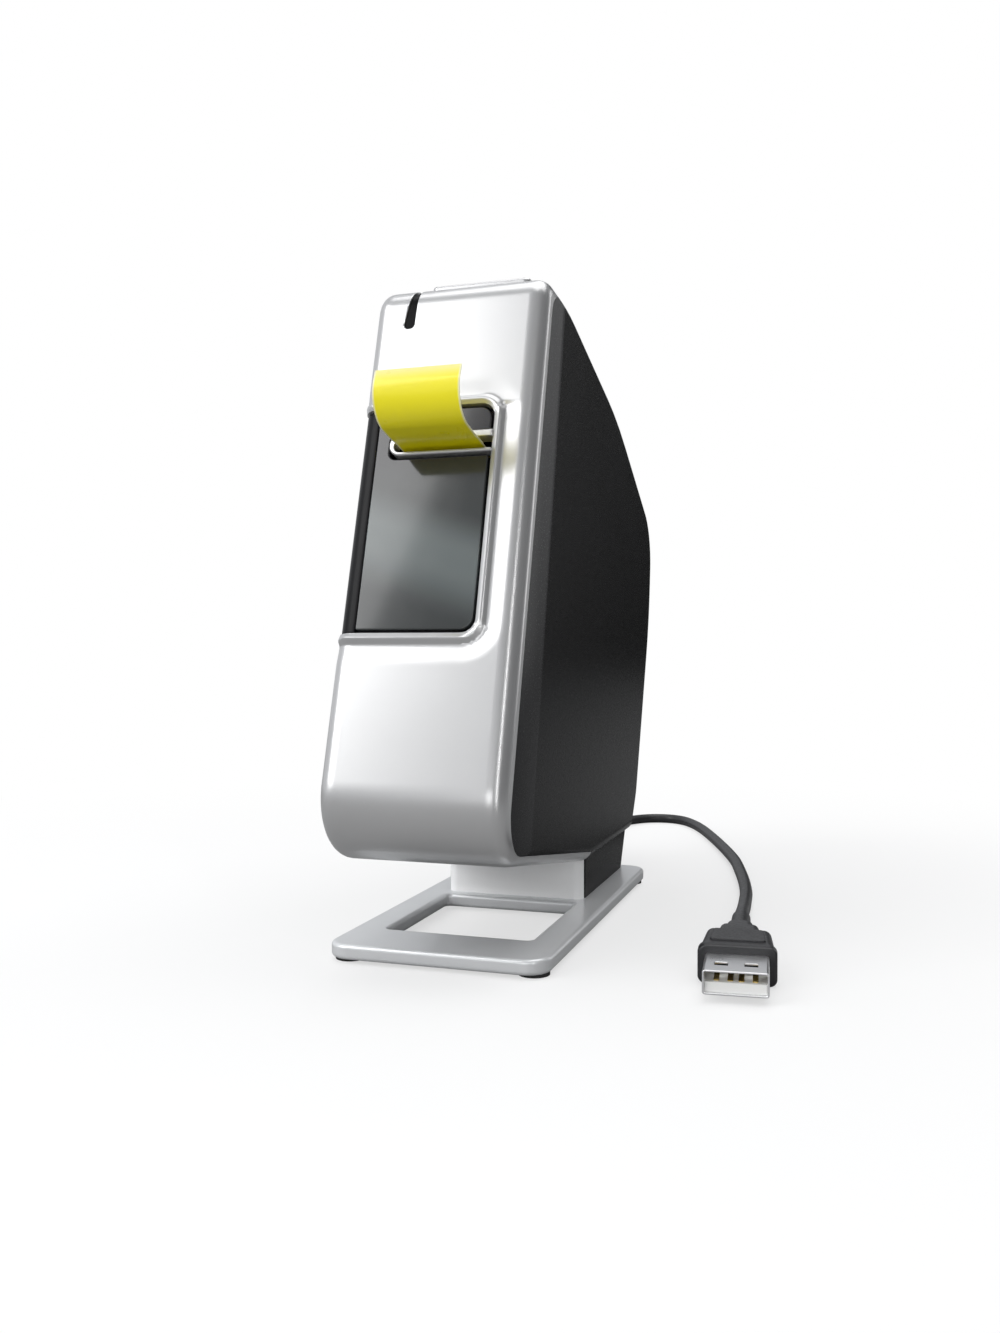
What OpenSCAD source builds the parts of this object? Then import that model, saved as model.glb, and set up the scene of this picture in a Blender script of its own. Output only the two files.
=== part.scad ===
// Desktop label maker: an upright printer on a flat stand, with a tape cassette behind a
// smoked front window and a short USB lead. X is across, Y is towards the back, Z is up.
// The origin is on the table, under the middle of the printer's overall depth.

/* [Body] */
// Height from the table to the top of the body
body_h = 142; // [128:1:180]
// Depth from the nose to the back of the body
body_d = 148; // [140:1:190]
// Lean of the front face back from upright, in degrees
lean = 16; // [14:0.5:18]
// Radius of the nose under the front face
nose_r = 13; // [10:0.5:15]
// Wall of the silver shell and of the black covers
wall = 2; // [1.6:0.1:2.6]
// Depth of the silver band around the front face
band_d = 4.8; // [4:0.1:7]
// Height of the silver lip along the belly
belly_lip = 2.2; // [1.6:0.1:3]
// Tilt of the belly under the nose, in degrees
belly_tilt = 8.8; // [6:0.2:11]

/* [Neck and stand] */
// Distance from the nose back to the front of the neck
neck_setback = 68.2; // [60:0.2:76]
// Depth of the neck where it stands on the base
neck_d = 45.6; // [40:0.2:56]
// Height of the step where the body meets the neck
step_z = 13.2; // [11:0.2:18]
// How far the neck stands in from each side of the body
neck_inset = 1.9; // [1:0.1:3]
// Thickness of the silver skin on the neck's front
neck_skin = 1.6; // [1.2:0.1:2]
// Width of the base frame
base_w = 47.2; // [44:0.2:70]
// Thickness of the base frame
base_t = 3.2; // [2.4:0.1:5]
// How far the base starts behind the nose
toe = 12.4; // [4:0.2:20]
// How far the base runs on behind the neck
heel = 2.4; // [1:0.1:10]
// Width of the base frame's front and side rails
rail_w = 7.4; // [6:0.2:10]
// Depth of the base frame's front rail
front_rail = 15.4; // [10:0.2:24]
// Corner radius of the base frame
base_r = 5; // [3:0.5:9]
// Height of the rubber pads under the base
pad_h = 0.8; // [0.6:0.1:2]

/* [Cassette and tape] */
// Width of the label tape
tape_w = 18; // [12:0.5:24]
// Offset of the tape's centre to the right of the body's centre
tape_x = -0.5; // [-2:0.1:0]
// Thickness of the label tape
tape_t = 0.2; // [0.15:0.05:0.3]
// Wall of the cassette's two shells
cassette_wall = 1.2; // [0.8:0.1:1.6]
// Room in the cassette behind the roll of tape
roll_tail = 2.3; // [1:0.1:6]
// Radius of the roll of tape
roll_r = 15; // [10:0.5:15.5]
// Depth of the tape slot below the top of the body
slot_drop = 36.5; // [30:0.5:45]

/* [Window and door] */
// Height of the window above the tape slot, along the face
window_up = 9; // [7:0.5:14]
// Height of the window below the tape slot, along the face
window_down = 39.7; // [34:0.5:44]
// How far the window reaches past the tape's right edge
window_margin = 1.9; // [1:0.1:3]
// Clearance around the doors
door_gap = 0.35; // [0.25:0.05:0.5]
// Thickness of the doors' side panels
door_t = 1.8; // [1.4:0.1:2]
// Radius of the door hinge pins
pin_r = 0.6; // [0.5:0.05:0.7]

/* [Drive] */
// Module of the gears
gear_m = 0.8; // [0.8:0.05:1]
// Face width of the gears
gear_w = 3; // [2:0.1:5]
// Thickness of the inner frame's wall
frame_t = 1.4; // [1:0.1:2]
// Thickness of the steel gear plate
plate_t = 1; // [0.8:0.1:1.5]
// Clearance between the layers of the drive
layer_gap = 0.5; // [0.4:0.05:0.8]
// Radius of the platen roller
platen_r = 3.2; // [2.5:0.1:3.4]
// Radial running clearance of shafts and pins
run_gap = 0.05; // [0.02:0.01:0.08]
// Radius of the motor
motor_r = 6; // [5:0.2:7]
// Travel of the cutter
cut_travel = 4.5; // [3.5:0.5:5]

/* [Lead and plug] */
// Diameter of the USB lead
cord_d = 3.2; // [2.6:0.1:4]
// Width of the plug's metal shell
plug_w = 12; // [11.9:0.1:12.1]
// Height of the plug's metal shell
plug_h = 4.5; // [4.4:0.1:4.6]
// Length of metal shell that shows
plug_shell_l = 12; // [11:0.5:13]
// Length of the plug's moulded grip
grip_l = 24; // [18:1:30]
// Width of the plug's moulded grip
grip_w = 15; // [13:0.5:17]
// Height of the plug's moulded grip
grip_h = 7.6; // [7:0.2:9]

/* [Hidden] */
eps = 0.01;
arc_step = 6;
$fn = 48;

// Outline helpers: a corner is [y, z, radius]; outlines run anticlockwise seen from +X.
function unit(v) = v / norm(v);
function xy(v) = [v[0], v[1]];
function cross2(a, b) = a[0] * b[1] - a[1] * b[0];
function corner_half(p, i) = let(
    n = len(p), b = xy(p[i]),
    u = unit(xy(p[(i + n - 1) % n]) - b), v = unit(xy(p[(i + 1) % n]) - b)
) acos(u * v) / 2;
function corner_centre(p, i) = let(
    n = len(p), b = xy(p[i]),
    u = unit(xy(p[(i + n - 1) % n]) - b), v = unit(xy(p[(i + 1) % n]) - b)
) b + unit(u + v) * p[i][2] / sin(corner_half(p, i));
function corner_arc(p, i) = let(
    n = len(p), b = xy(p[i]), r = p[i][2], c = corner_centre(p, i), run = r / tan(corner_half(p, i)),
    s = b + unit(xy(p[(i + n - 1) % n]) - b) * run - c,
    e = b + unit(xy(p[(i + 1) % n]) - b) * run - c,
    a = atan2(s[1], s[0]), sweep = (atan2(e[1], e[0]) - a + 540) % 360 - 180,
    steps = ceil(abs(sweep) / arc_step)
) [for (k = [0:steps]) c + r * [cos(a + sweep * k / steps), sin(a + sweep * k / steps)]];
function rounded(p) = [for (i = [0:len(p) - 1]) each p[i][2] > 0 ? corner_arc(p, i) : [xy(p[i])]];
function inset(p, d) = let(n = len(p)) [for (i = [0:n - 1]) let(
    b = xy(p[i]), e = unit(b - xy(p[(i + n - 1) % n])), f = unit(xy(p[(i + 1) % n]) - b),
    m = [-e[1], e[0]] + [-f[1], f[0]], way = cross2(e, f) > 0 ? 1 : -1
) [each b + m * 2 * d / (m * m), p[i][2] > 0 ? max(p[i][2] - way * d, 0.3) : 0]];
function meet(p, u, q, v) = p + u * cross2(q - p, v) / cross2(u, v);

// Widths across the body, built up from the tape outwards
cassette_w = tape_w + 0.4 + 2 * cassette_wall;
cassette_x0 = tape_x - cassette_w / 2;
cassette_x1 = tape_x + cassette_w / 2;
frame_x = cassette_x1 + layer_gap;
gear_x = frame_x + frame_t + layer_gap;
plate_x = gear_x + gear_w + 0.4;
half_w = plate_x + plate_t + layer_gap + wall;
window_right = tape_x + tape_w / 2 + window_margin;
neck_half = half_w - neck_inset;
inner_half = half_w - wall;

// Side outline of the body
front_y = -body_d / 2;
back_y = body_d / 2;
neck_y = front_y + neck_setback;
base_top = pad_h + base_t;
face_dir = [sin(lean), cos(lean)];
belly_dir = [cos(belly_tilt), -sin(belly_tilt)];
nose_half = acos(face_dir * belly_dir) / 2;
nose_y = front_y + nose_r - unit(face_dir + belly_dir)[0] * nose_r / sin(nose_half);
nose_z = step_z + (neck_y - nose_y) * tan(belly_tilt);
function face_y(z) = nose_y + (z - nose_z) * tan(lean);
top_y = face_y(body_h);
neck_flare = 5.7;
rump_y = neck_y + neck_d + neck_flare;
crown_h = body_h - 1.4;
shoulder_h = 0.89 * body_h;
back_corner_h = 0.708 * body_h;
waist_h = 0.507 * body_h;
back_overshoot = 1.5;
back_r = 18;
body_corners = [
    [nose_y, nose_z, nose_r],
    [neck_y, step_z, 0],
    [rump_y, step_z, 0],
    [rump_y + 6.8, step_z + 8.8, 14],
    [back_y - 2, waist_h, 90],
    [back_y + back_overshoot, back_corner_h, back_r],
    [front_y + 0.67 * body_d, shoulder_h, 110],
    [top_y + 18, crown_h, 60],
    [top_y, body_h, 6]
];
neck_corners = [
    [neck_y, base_top, 0],
    [neck_y + neck_d, base_top, 0],
    [rump_y, step_z, 0],
    [neck_y, step_z, 0]
];
neck_room = [
    [neck_y + neck_skin, base_top - 1],
    [neck_y + neck_d - wall - 0.7, base_top - 1],
    [rump_y - wall, step_z],
    [rump_y - wall, step_z + wall + 1],
    [neck_y + neck_skin, step_z + wall + 1]
];

// Edge between the silver band and the black covers
cover_nose = meet(
    [nose_y + band_d / cos(lean), nose_z], face_dir,
    [neck_y, step_z + belly_lip], belly_dir
);
lip_top_z = body_h - 4.6;
cover_top = [face_y(lip_top_z) + band_d / cos(lean), lip_top_z];
crest = [top_y + 12.3, body_h - 1];
cover_top_run = cover_top + (crest - cover_top) * 2;
cover_corners = [
    [each cover_nose, nose_r - band_d],
    [neck_y + neck_skin, step_z + belly_lip, 0],
    [neck_y + neck_skin, -5, 0],
    [body_d, -5, 0],
    [body_d, 2 * body_h, 0],
    [cover_top_run[0], 2 * body_h, 0],
    [each cover_top_run, 0],
    [each cover_top, 6]
];

// Frame of the front face: X across, Y into the body, Z up the face, from the tape slot
slot_z = body_h - slot_drop;
module in_face() {
    translate([0, face_y(slot_z), slot_z]) rotate([-lean, 0, 0]) children();
}
function top_at(depth) = (slot_drop + depth * sin(lean)) / cos(lean);

// Extrudes a side outline from x0 to x1
module across(x0, x1) {
    translate([x0, 0, 0]) rotate([90, 0, 90]) linear_extrude(x1 - x0) children();
}
module box(low, high) {
    translate(low) cube(high - low);
}
// A round bar along X from x0 to x1 at [y, z]
module bar(p, r, x0, x1) {
    translate([x0, p[0], p[1]]) rotate([0, 90, 0]) cylinder(r = r, h = x1 - x0);
}
module body_solid(x0, x1) {
    across(x0, x1) polygon(rounded(body_corners));
}
module cover_zone() {
    across(-2 * half_w, 2 * half_w) polygon(rounded(cover_corners));
}
module casing_room() {
    across(-inner_half, inner_half) polygon(rounded(inset(body_corners, wall)));
    across(-neck_half + wall, neck_half - wall) polygon(neck_room);
}

// Gear train in the face's frame, from the platen back to the motor
teeth_platen = 16;
teeth_idler = 30;
teeth_pinion = 10;
teeth_ribbon = 20;
mesh_gap = 0.1;
tooth_top = 0.85 * gear_m;
function tip_r(teeth) = teeth * gear_m / 2 + tooth_top;
function centres(a, b) = (a + b) * gear_m / 2 + mesh_gap;
function step_to(p, a, b, dir) = p + centres(a, b) * [cos(dir), sin(dir)];
platen_gap = 1.12;
platen_p = [wall + platen_gap + tip_r(teeth_platen), -platen_r - tape_t];
front_dir = 20;
rear_dir = 0;
pinion_dir = -30;
ribbon_dir = -110;
idler_front_p = step_to(platen_p, teeth_platen, teeth_idler, front_dir);
idler_rear_p = step_to(idler_front_p, teeth_idler, teeth_idler, rear_dir);
motor_p = step_to(idler_rear_p, teeth_idler, teeth_pinion, pinion_dir);
ribbon_p = step_to(idler_front_p, teeth_idler, teeth_ribbon, ribbon_dir);
function meshed(phase, a, b, dir) = dir + 180 + (dir - phase) * a / b + 180 / b;
front_phase = meshed(front_dir, teeth_platen, teeth_idler, front_dir);
rear_phase = meshed(front_phase, teeth_idler, teeth_idler, rear_dir);
pinion_phase = meshed(rear_phase, teeth_idler, teeth_pinion, pinion_dir);
ribbon_phase = meshed(front_phase, teeth_idler, teeth_ribbon, ribbon_dir);
platen_shaft_r = 1.2;
post_r = 1.5;
spindle_r = 2;
motor_shaft_r = 1;

// Tape across the body, and the roll below and behind the take-up core
tape_x0 = tape_x - tape_w / 2;
tape_x1 = tape_x + tape_w / 2;
core_r = 4.6;
roll_gap = 2.76;
roll_dir = -37.3;
roll_p = ribbon_p + (core_r + roll_r + roll_gap) * [cos(roll_dir), sin(roll_dir)];

// Window and door places in the face's frame
window_top = window_up;
window_low = -window_down;
cassette_y0 = 5;
cassette_y1 = round(10 * (roll_p[0] + roll_r + cassette_wall + roll_tail)) / 10;
door_hinge_y = cassette_y1 + 2;
door_margin = 1.5;
hinge_r = 1.2;
hinge_x = -half_w + hinge_r;
hinge_room = 0.7;
notch_low = -2.1;
notch_top = 3.3;
lip_left = tape_x - tape_w / 2 - 2.4;
module rounded_slab(low, high, r) {
    for (x = [low[0], high[0] - 2 * r]) {
        box([x, low[1], low[2] + r], [x + 2 * r, high[1], high[2] - r]);
    }
    box([low[0] + r, low[1], low[2]], [high[0] - r, high[1], high[2]]);
    for (x = [low[0] + r, high[0] - r], z = [low[2] + r, high[2] - r]) {
        translate([x, low[1], z]) rotate([-90, 0, 0]) cylinder(r = r, h = high[1] - low[1]);
    }
}
module window_cut() {
    rounded_slab(
        [-2 * half_w, -5, window_low], [window_right, band_d + 3, window_top], 3
    );
    box(
        [-2 * half_w, band_d, door_low],
        [-inner_half + 1, door_hinge_y + hinge_r + hinge_room, window_top]
    );
}

// Battery bay in the face's frame
bay_y0 = door_hinge_y + 5;
bay_y1 = bay_y0 + 43;
bay_z0 = -54;
bay_z1 = -15;
battery_hinge_y = bay_y1 + 1;
module battery_cut() {
    box(
        [-2 * half_w, bay_y0 - 1, bay_z0],
        [-inner_half + 1, battery_hinge_y + hinge_r + hinge_room, bay_z1]
    );
}

// Side outline of the cassette, with its notch for the printhead and the platen
cassette_low = roll_p[1] - roll_r - cassette_wall - 1.3;
cassette_top = 6;
notch_floor = -8;
door_low = cassette_low - door_margin;

// Stand: screws up into the inner frame's foot, and pads
neck_gap = 3;
pad_r = 3.2;
screw_r = 1.3;
screw_hole_r = 1.6;
screw_head_r = 2.6;
screw_head_h = 1.3;
screw_bite = 6;
screw_places = [for (x = [-8, 8], y = [neck_y + 9, neck_y + neck_d - 13]) [x, y]];

// Case screws: places [y, z] that clear the doors, the cassette and the drive
case_screw_r = 1.1;
case_head_r = 2.2;
case_head_h = 1.2;
case_boss_r = 2.6;
case_places = [
    [top_y + 12.5, body_h - 12], [back_y - 10, back_corner_h - 10],
    [neck_y - 8, step_z + 11], [rump_y - 6, step_z + 7]
];

// Exit lip, rim, lens and cutter on the front shell, in the face's frame
lip_proud = 0.5;
lip_depth = 2.6;
lip_low = -1.8;
lip_top = 3;
lip_round = (lip_top - lip_low) / 2;
slot_low = -1.1;
slot_top = 1.5;
rim_w = 2.2;
rim_proud = 0.5;
lens_low = 27.5;
lens_back = 6.5;
button_x0 = tape_x - 7.5;
button_x1 = frame_x + 3.6;
button_y0 = 3.4;
button_y1 = 10.4;
button_foot = slot_drop - 3.5;
button_proud = 0.7;
lens_x1 = button_x0 - 1.2;
lens_x0 = lens_x1 - 1.4;
blade_y = 4.2;
blade_t = 0.6;
blade_z = 2.4;
spring_x = [-5.8, 6.2];
spring_y = 8.4;
spring_low = 14;
spring_top = 24;

// Printhead, spools and the cassette's notch
head_z = tape_t / 2 + 0.1;
head_d = 3.2;
head_t = 1.2;
notch_y = platen_p[0] + 7.3;
roll_core_r = 5;
core_wall = 1.6;
supply_p = [46.5, -7];
supply_r = 5.6;
supply_core_r = 2.6;

// Label strip beyond the slot
strip_out = 9.5;
strip_drop = 0.5;
curl_r = 6.5;
strip_tip = 2.4;

// Door panes
pane_y0 = 0.7;
pane_t = 1.2;
pane_back_t = 1.3;
pane_r = 2.6;
view_x0 = -half_w + 6;
view_x1 = window_right - 3;
view_z0 = window_low + 4;
view_z1 = notch_low - 3.4;

// Drive plate spacers and motor
spacer_r = 2;
spacer_places = [
    idler_front_p + (tip_r(teeth_idler) + spacer_r + 0.6) * [cos(142), sin(142)],
    (idler_front_p + idler_rear_p) / 2 + [0, teeth_idler * gear_m / 2],
    idler_rear_p + (tip_r(teeth_idler) + spacer_r + 3.4) * [cos(-70), sin(-70)]
];
spacer_pin_r = 1;
motor_l = 16;
shaft_bite = 3;

// Board, battery tray and power button
board_t = 1.6;
board_x = frame_x - 3.2;
board_y0 = bay_y0 + 8;
board_y1 = bay_y1;
board_z0 = bay_z0 + 2;
board_z1 = bay_z1 - 7;
board_posts = [for (y = [board_y0 + 3, board_y1 - 3], z = [board_z0 + 3, board_z1 - 3]) [y, z]];
tray_x0 = -inner_half + 0.4;
tray_x1 = tray_x0 + 12.2;
tray_t = 1.2;
tray_posts = [[bay_y0 + 3.5, bay_z1 - 5], [bay_y0 + 3.5, bay_z0 + 5], [bay_y1 - 6, bay_z1 - 3.4]];
power_r = 4.4;
slope_a = xy(body_corners[6]);
slope_b = xy(body_corners[7]);
module on_slope() {
    mid = (slope_a + slope_b) / 2;
    tilt = atan2(slope_b[1] - slope_a[1], slope_a[0] - slope_b[0]);
    translate([0, each mid]) rotate([-tilt, 0, 0]) children();
}

// Gland and plug
gland_z = (base_top + step_z) / 2;
gland_r = 2.9;
gland_y0 = neck_y + neck_d - 4.6;
gland_y1 = neck_y + neck_d + 4.2;
boot_l = 14;
relief_l = 16;
plug_turn = 5;
shell_t = 0.35;
tongue_t = 1.9;

// A spur gear at p with a tooth centred at the phase angle
module gear(p, teeth, phase, bore_r) {
    pitch = teeth * gear_m / 2;
    root = pitch - 1.15 * gear_m;
    tip = tip_r(teeth);
    tooth = [[-0.28, root], [-0.1, tip], [0.1, tip], [0.28, root]];
    difference() {
        across(gear_x, gear_x + gear_w) translate(p) polygon([
            for (k = [0:teeth - 1], t = tooth)
                t[1] * [cos(phase + (k + t[0]) * 360 / teeth), sin(phase + (k + t[0]) * 360 / teeth)]
        ]);
        if (bore_r > 0) bar(p, bore_r, gear_x - 1, gear_x + gear_w + 1);
    }
}

// A round tube swept along points: rings of a few sides that turn with the path
function ring_side(t) = abs(t[2]) > 0.9 ? unit(cross(t, [1, 0, 0])) : unit(cross(t, [0, 0, 1]));
module tube(pts, r, sides) {
    n = len(pts);
    dirs = [for (i = [0:n - 1]) unit(pts[min(i + 1, n - 1)] - pts[max(i - 1, 0)])];
    rings = [for (i = [0:n - 1]) let(s = ring_side(dirs[i]), u = cross(s, dirs[i])) each [
        for (k = [0:sides - 1]) let(a = (k + 0.5) * 360 / sides) pts[i] + r * (s * cos(a) + u * sin(a))
    ]];
    polyhedron(rings, [
        [for (k = [0:sides - 1]) k],
        [for (k = [sides - 1:-1:0]) (n - 1) * sides + k],
        for (i = [0:n - 2], k = [0:sides - 1]) let(a = i * sides, m = (k + 1) % sides)
            each [[a + k, a + sides + k, a + m], [a + m, a + sides + k, a + sides + m]]
    ], convexity = 10);
}
// A coil spring standing on the origin, along +Z
module coil(r, wire_r, height, turns) {
    steps = turns * 12;
    tube([for (k = [0:steps]) [
        r * cos(30 * k), r * sin(30 * k), wire_r + (height - 2 * wire_r) * k / steps
    ]], wire_r, 6);
}

module stand_base() {
    base_y0 = front_y + toe;
    base_y1 = neck_y + neck_d + heel;
    color("#c9cacc") difference() {
        translate([0, 0, pad_h]) linear_extrude(base_t) polygon(rounded([
            [-base_w / 2, base_y0, base_r], [base_w / 2, base_y0, base_r],
            [base_w / 2, base_y1, base_r], [-base_w / 2, base_y1, base_r]
        ]));
        box(
            [-base_w / 2 + rail_w, base_y0 + front_rail, -1],
            [base_w / 2 - rail_w, neck_y - neck_gap, base_top + 1]
        );
        for (p = screw_places) {
            translate([each p, -1]) cylinder(r = screw_hole_r, h = base_top + 2);
            translate([each p, -1]) cylinder(r = screw_head_r + 0.3, h = pad_h + 1 + screw_head_h + 0.2);
        }
    }
}

module stand_pads() {
    x = base_w / 2 - pad_r - 0.6;
    rows = [front_y + toe + pad_r + 2, neck_y + neck_d + heel - pad_r - 1.4];
    color("#202022") for (s = [-1, 1], y = rows) {
        translate([s * x, y, 0]) cylinder(r = pad_r, h = pad_h);
    }
}

module stand_screws() {
    color("#8f9296") for (p = screw_places) {
        translate([each p, pad_h + 0.1]) cylinder(r = screw_head_r, h = screw_head_h);
        translate([each p, pad_h + 0.1]) cylinder(r = screw_r, h = base_t + screw_bite);
    }
}

module neck_cover() {
    color("#e6e6e6") difference() {
        across(-neck_half, neck_half) polygon(rounded(neck_corners));
        cover_zone();
        casing_room();
    }
}

// Well in the top of the casing that the cutter button sinks into, in the face's frame
module button_well() {
    box(
        [button_x0 - 0.3, button_y0 - 0.3, button_foot - cut_travel - 0.5],
        [button_x1 + 0.3, button_y1 + 0.3, 2 * body_h]
    );
}

module front_shell() {
    color("#d9d9da") {
        difference() {
            body_solid(-half_w, half_w);
            cover_zone();
            casing_room();
            in_face() {
                window_cut();
                button_well();
                box([lens_x0, -2, lens_low], [lens_x1, lens_back, 60]);
            }
        }
        in_face() difference() {
            rounded_slab(
                [-inner_half + 1, -rim_proud, window_low - rim_w],
                [window_right + rim_w, 1, window_top + rim_w], 4.5
            );
            window_cut();
        }
    }
}

// One half of the black casing, from the middle of the body out to one side
module cover_half(side) {
    difference() {
        intersection() {
            union() {
                body_solid(side < 0 ? -half_w : 0, side < 0 ? 0 : half_w);
                across(side < 0 ? -neck_half : 0, side < 0 ? 0 : neck_half) polygon(rounded(neck_corners));
            }
            cover_zone();
        }
        casing_room();
        in_face() button_well();
        on_slope() translate([0, 0, -10]) cylinder(r = power_r + 0.3, h = 20);
        translate([0, neck_y, gland_z]) rotate([-90, 0, 0]) cylinder(r = gland_r, h = body_d);
    }
}

module right_cover() {
    color("#1c1c1e") difference() {
        union() {
            cover_half(1);
            for (p = case_places) bar(p, case_boss_r, frame_x + frame_t, inner_half + eps);
        }
        for (p = case_places) bar(p, case_screw_r, 0, half_w - wall);
    }
}

module left_cover() {
    color("#1c1c1e") {
        difference() {
            cover_half(-1);
            in_face() {
                window_cut();
                battery_cut();
            }
            for (p = case_places) {
                bar(p, case_screw_r + 0.2, -2 * half_w, 0);
                bar(p, case_head_r + 0.2, -2 * half_w, -half_w + case_head_h + 0.4);
            }
        }
        in_face() {
            hinge_lugs(door_hinge_y, door_low, window_top);
            hinge_lugs(battery_hinge_y, bay_z0, bay_z1);
        }
    }
}

// Hinge knuckles along one door's rear edge: five lengths, the cover's and the door's in turn
knuckles = 5;
function knuckle_low(z0, z1, i) = z0 + door_gap + (z1 - z0 - 2 * door_gap) * i / knuckles + 0.15;
function knuckle_top(z0, z1, i) = knuckle_low(z0, z1, i + 1) - 0.3;
module hinge_lugs(y, z0, z1) {
    for (i = [0:2:knuckles - 1]) difference() {
        union() {
            translate([hinge_x, y, knuckle_low(z0, z1, i)])
                cylinder(r = hinge_r, h = knuckle_top(z0, z1, i) - knuckle_low(z0, z1, i));
            box(
                [-half_w, y, knuckle_low(z0, z1, i)],
                [-half_w + wall, y + hinge_r + hinge_room + 1, knuckle_top(z0, z1, i)]
            );
        }
        translate([hinge_x, y, z0]) cylinder(r = pin_r, h = z1 - z0);
    }
}
module door_knuckles(y, z0, z1) {
    for (i = [1:2:knuckles - 1]) difference() {
        union() {
            translate([hinge_x, y, knuckle_low(z0, z1, i)])
                cylinder(r = hinge_r, h = knuckle_top(z0, z1, i) - knuckle_low(z0, z1, i));
            box(
                [-half_w, y - hinge_r - 1, knuckle_low(z0, z1, i)],
                [-half_w + door_t, y, knuckle_top(z0, z1, i)]
            );
        }
        translate([hinge_x, y, z0]) cylinder(r = pin_r + run_gap, h = z1 - z0);
    }
}
module hinge_pin(y, z0, z1) {
    color("#b9bcc0") in_face() translate([hinge_x, y, knuckle_low(z0, z1, 0)])
        cylinder(r = pin_r, h = knuckle_top(z0, z1, knuckles - 1) - knuckle_low(z0, z1, 0));
}

module status_lens() {
    color("#0c0c0e") intersection() {
        difference() {
            across(lens_x0, lens_x1) polygon(rounded(inset(body_corners, 0.3)));
            across(lens_x0 - 1, lens_x1 + 1) polygon(rounded(inset(body_corners, wall)));
        }
        in_face() box([lens_x0, -2, lens_low], [lens_x1, lens_back, 60]);
    }
}

module exit_lip() {
    color("#d0d1d3") in_face() difference() {
        union() {
            box([lip_left + lip_round, -lip_proud, lip_low], [window_right, lip_depth, lip_top]);
            translate([lip_left + lip_round, -lip_proud, (lip_low + lip_top) / 2])
                rotate([-90, 0, 0]) cylinder(r = lip_round, h = lip_depth + lip_proud);
        }
        box([lip_left + lip_round, -2, slot_low], [window_right + 1, lip_depth + 1, slot_top]);
        translate([lip_left + lip_round, -2, (slot_low + slot_top) / 2])
            rotate([-90, 0, 0]) cylinder(r = (slot_top - slot_low) / 2, h = lip_depth + 4);
    }
}

module inner_frame() {
    foot_x1 = frame_x + frame_t;
    color("#4a4d52") difference() {
        union() {
            across(frame_x, foot_x1) polygon(rounded(inset(body_corners, wall + 0.4)));
            box(
                [-neck_half + wall + 0.6, neck_y + 4, base_top],
                [foot_x1, neck_y + neck_d - 8, step_z + wall + 3]
            );
            in_face() {
                box(
                    [spring_x[0] - 2.4, spring_y - 1.5, spring_low - 1.4],
                    [frame_x + eps, spring_y + 1.5, spring_low]
                );
                for (p = board_posts) bar(p, 2, board_x + board_t, frame_x + eps);
                for (p = tray_posts) bar(p, 2.5, tray_x1, frame_x + eps);
            }
            on_slope() box([-5, -5, -13.6], [frame_x + eps, 5, -12]);
        }
        in_face() {
            button_well();
            bar(platen_p, platen_shaft_r + run_gap, frame_x - 1, foot_x1 + 1);
            bar(ribbon_p, spindle_r + run_gap, frame_x - 1, foot_x1 + 1);
            bar(motor_p, motor_shaft_r + 1.2, frame_x - 1, foot_x1 + 1);
            for (p = [idler_front_p, idler_rear_p]) bar(p, post_r, frame_x - 1, foot_x1 + 1);
            for (p = spacer_places) bar(p, spacer_pin_r, frame_x - 1, foot_x1 + 1);
        }
        for (p = case_places) bar(p, case_screw_r + 0.3, frame_x - 1, foot_x1 + 1);
        for (p = screw_places) translate([each p, base_top - 1]) cylinder(r = screw_r, h = screw_bite + 1.4);
    }
}

module gear_plate() {
    color("#a9adb2") in_face() difference() {
        across(plate_x, plate_x + plate_t) polygon(rounded([
            [4, platen_p[1] - 8, 3], [ribbon_p[0], ribbon_p[1] - 9, 6], [motor_p[0] + 6, motor_p[1] - 8, 5],
            [motor_p[0] + 8, motor_p[1] + 8, 4], [idler_rear_p[0], idler_rear_p[1] + 16, 5],
            [idler_front_p[0] - 6, idler_front_p[1] + 16, 5], [4, platen_p[1] + 12, 3]
        ]));
        bar(platen_p, platen_shaft_r + run_gap, plate_x - 1, plate_x + plate_t + 1);
        bar(ribbon_p, spindle_r + run_gap, plate_x - 1, plate_x + plate_t + 1);
        for (p = [idler_front_p, idler_rear_p]) bar(p, post_r, plate_x - 1, plate_x + plate_t + 1);
        for (p = spacer_places) bar(p, spacer_pin_r, plate_x - 1, plate_x + plate_t + 1);
    }
}

module gear_posts() {
    color("#c7cace") in_face() {
        for (p = [idler_front_p, idler_rear_p]) bar(p, post_r, frame_x, plate_x + plate_t);
        for (p = spacer_places) {
            bar(p, spacer_r, frame_x + frame_t, plate_x);
            bar(p, spacer_pin_r, frame_x, plate_x + plate_t);
        }
    }
}

module case_screws() {
    color("#3a3c40") for (p = case_places) {
        bar(p, case_screw_r, -half_w + 0.4, half_w - wall - 1);
        bar(p, case_head_r, -half_w + 0.4, -half_w + case_head_h + 0.4);
    }
}

module motor() {
    color("#9ea1a6") in_face() difference() {
        bar(motor_p, motor_r, frame_x - motor_l, frame_x);
        bar(motor_p, motor_shaft_r + run_gap, frame_x - shaft_bite - 0.3, frame_x + 1);
    }
}

module motor_pinion() {
    color("#d8b45a") in_face() {
        gear(motor_p, teeth_pinion, pinion_phase, 0);
        bar(motor_p, motor_shaft_r, frame_x - shaft_bite, gear_x + gear_w + 0.2);
    }
}

module idler_rear() {
    color("#ece9df") in_face() gear(idler_rear_p, teeth_idler, rear_phase, post_r + run_gap);
}

module idler_front() {
    color("#ece9df") in_face() gear(idler_front_p, teeth_idler, front_phase, post_r + run_gap);
}

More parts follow.
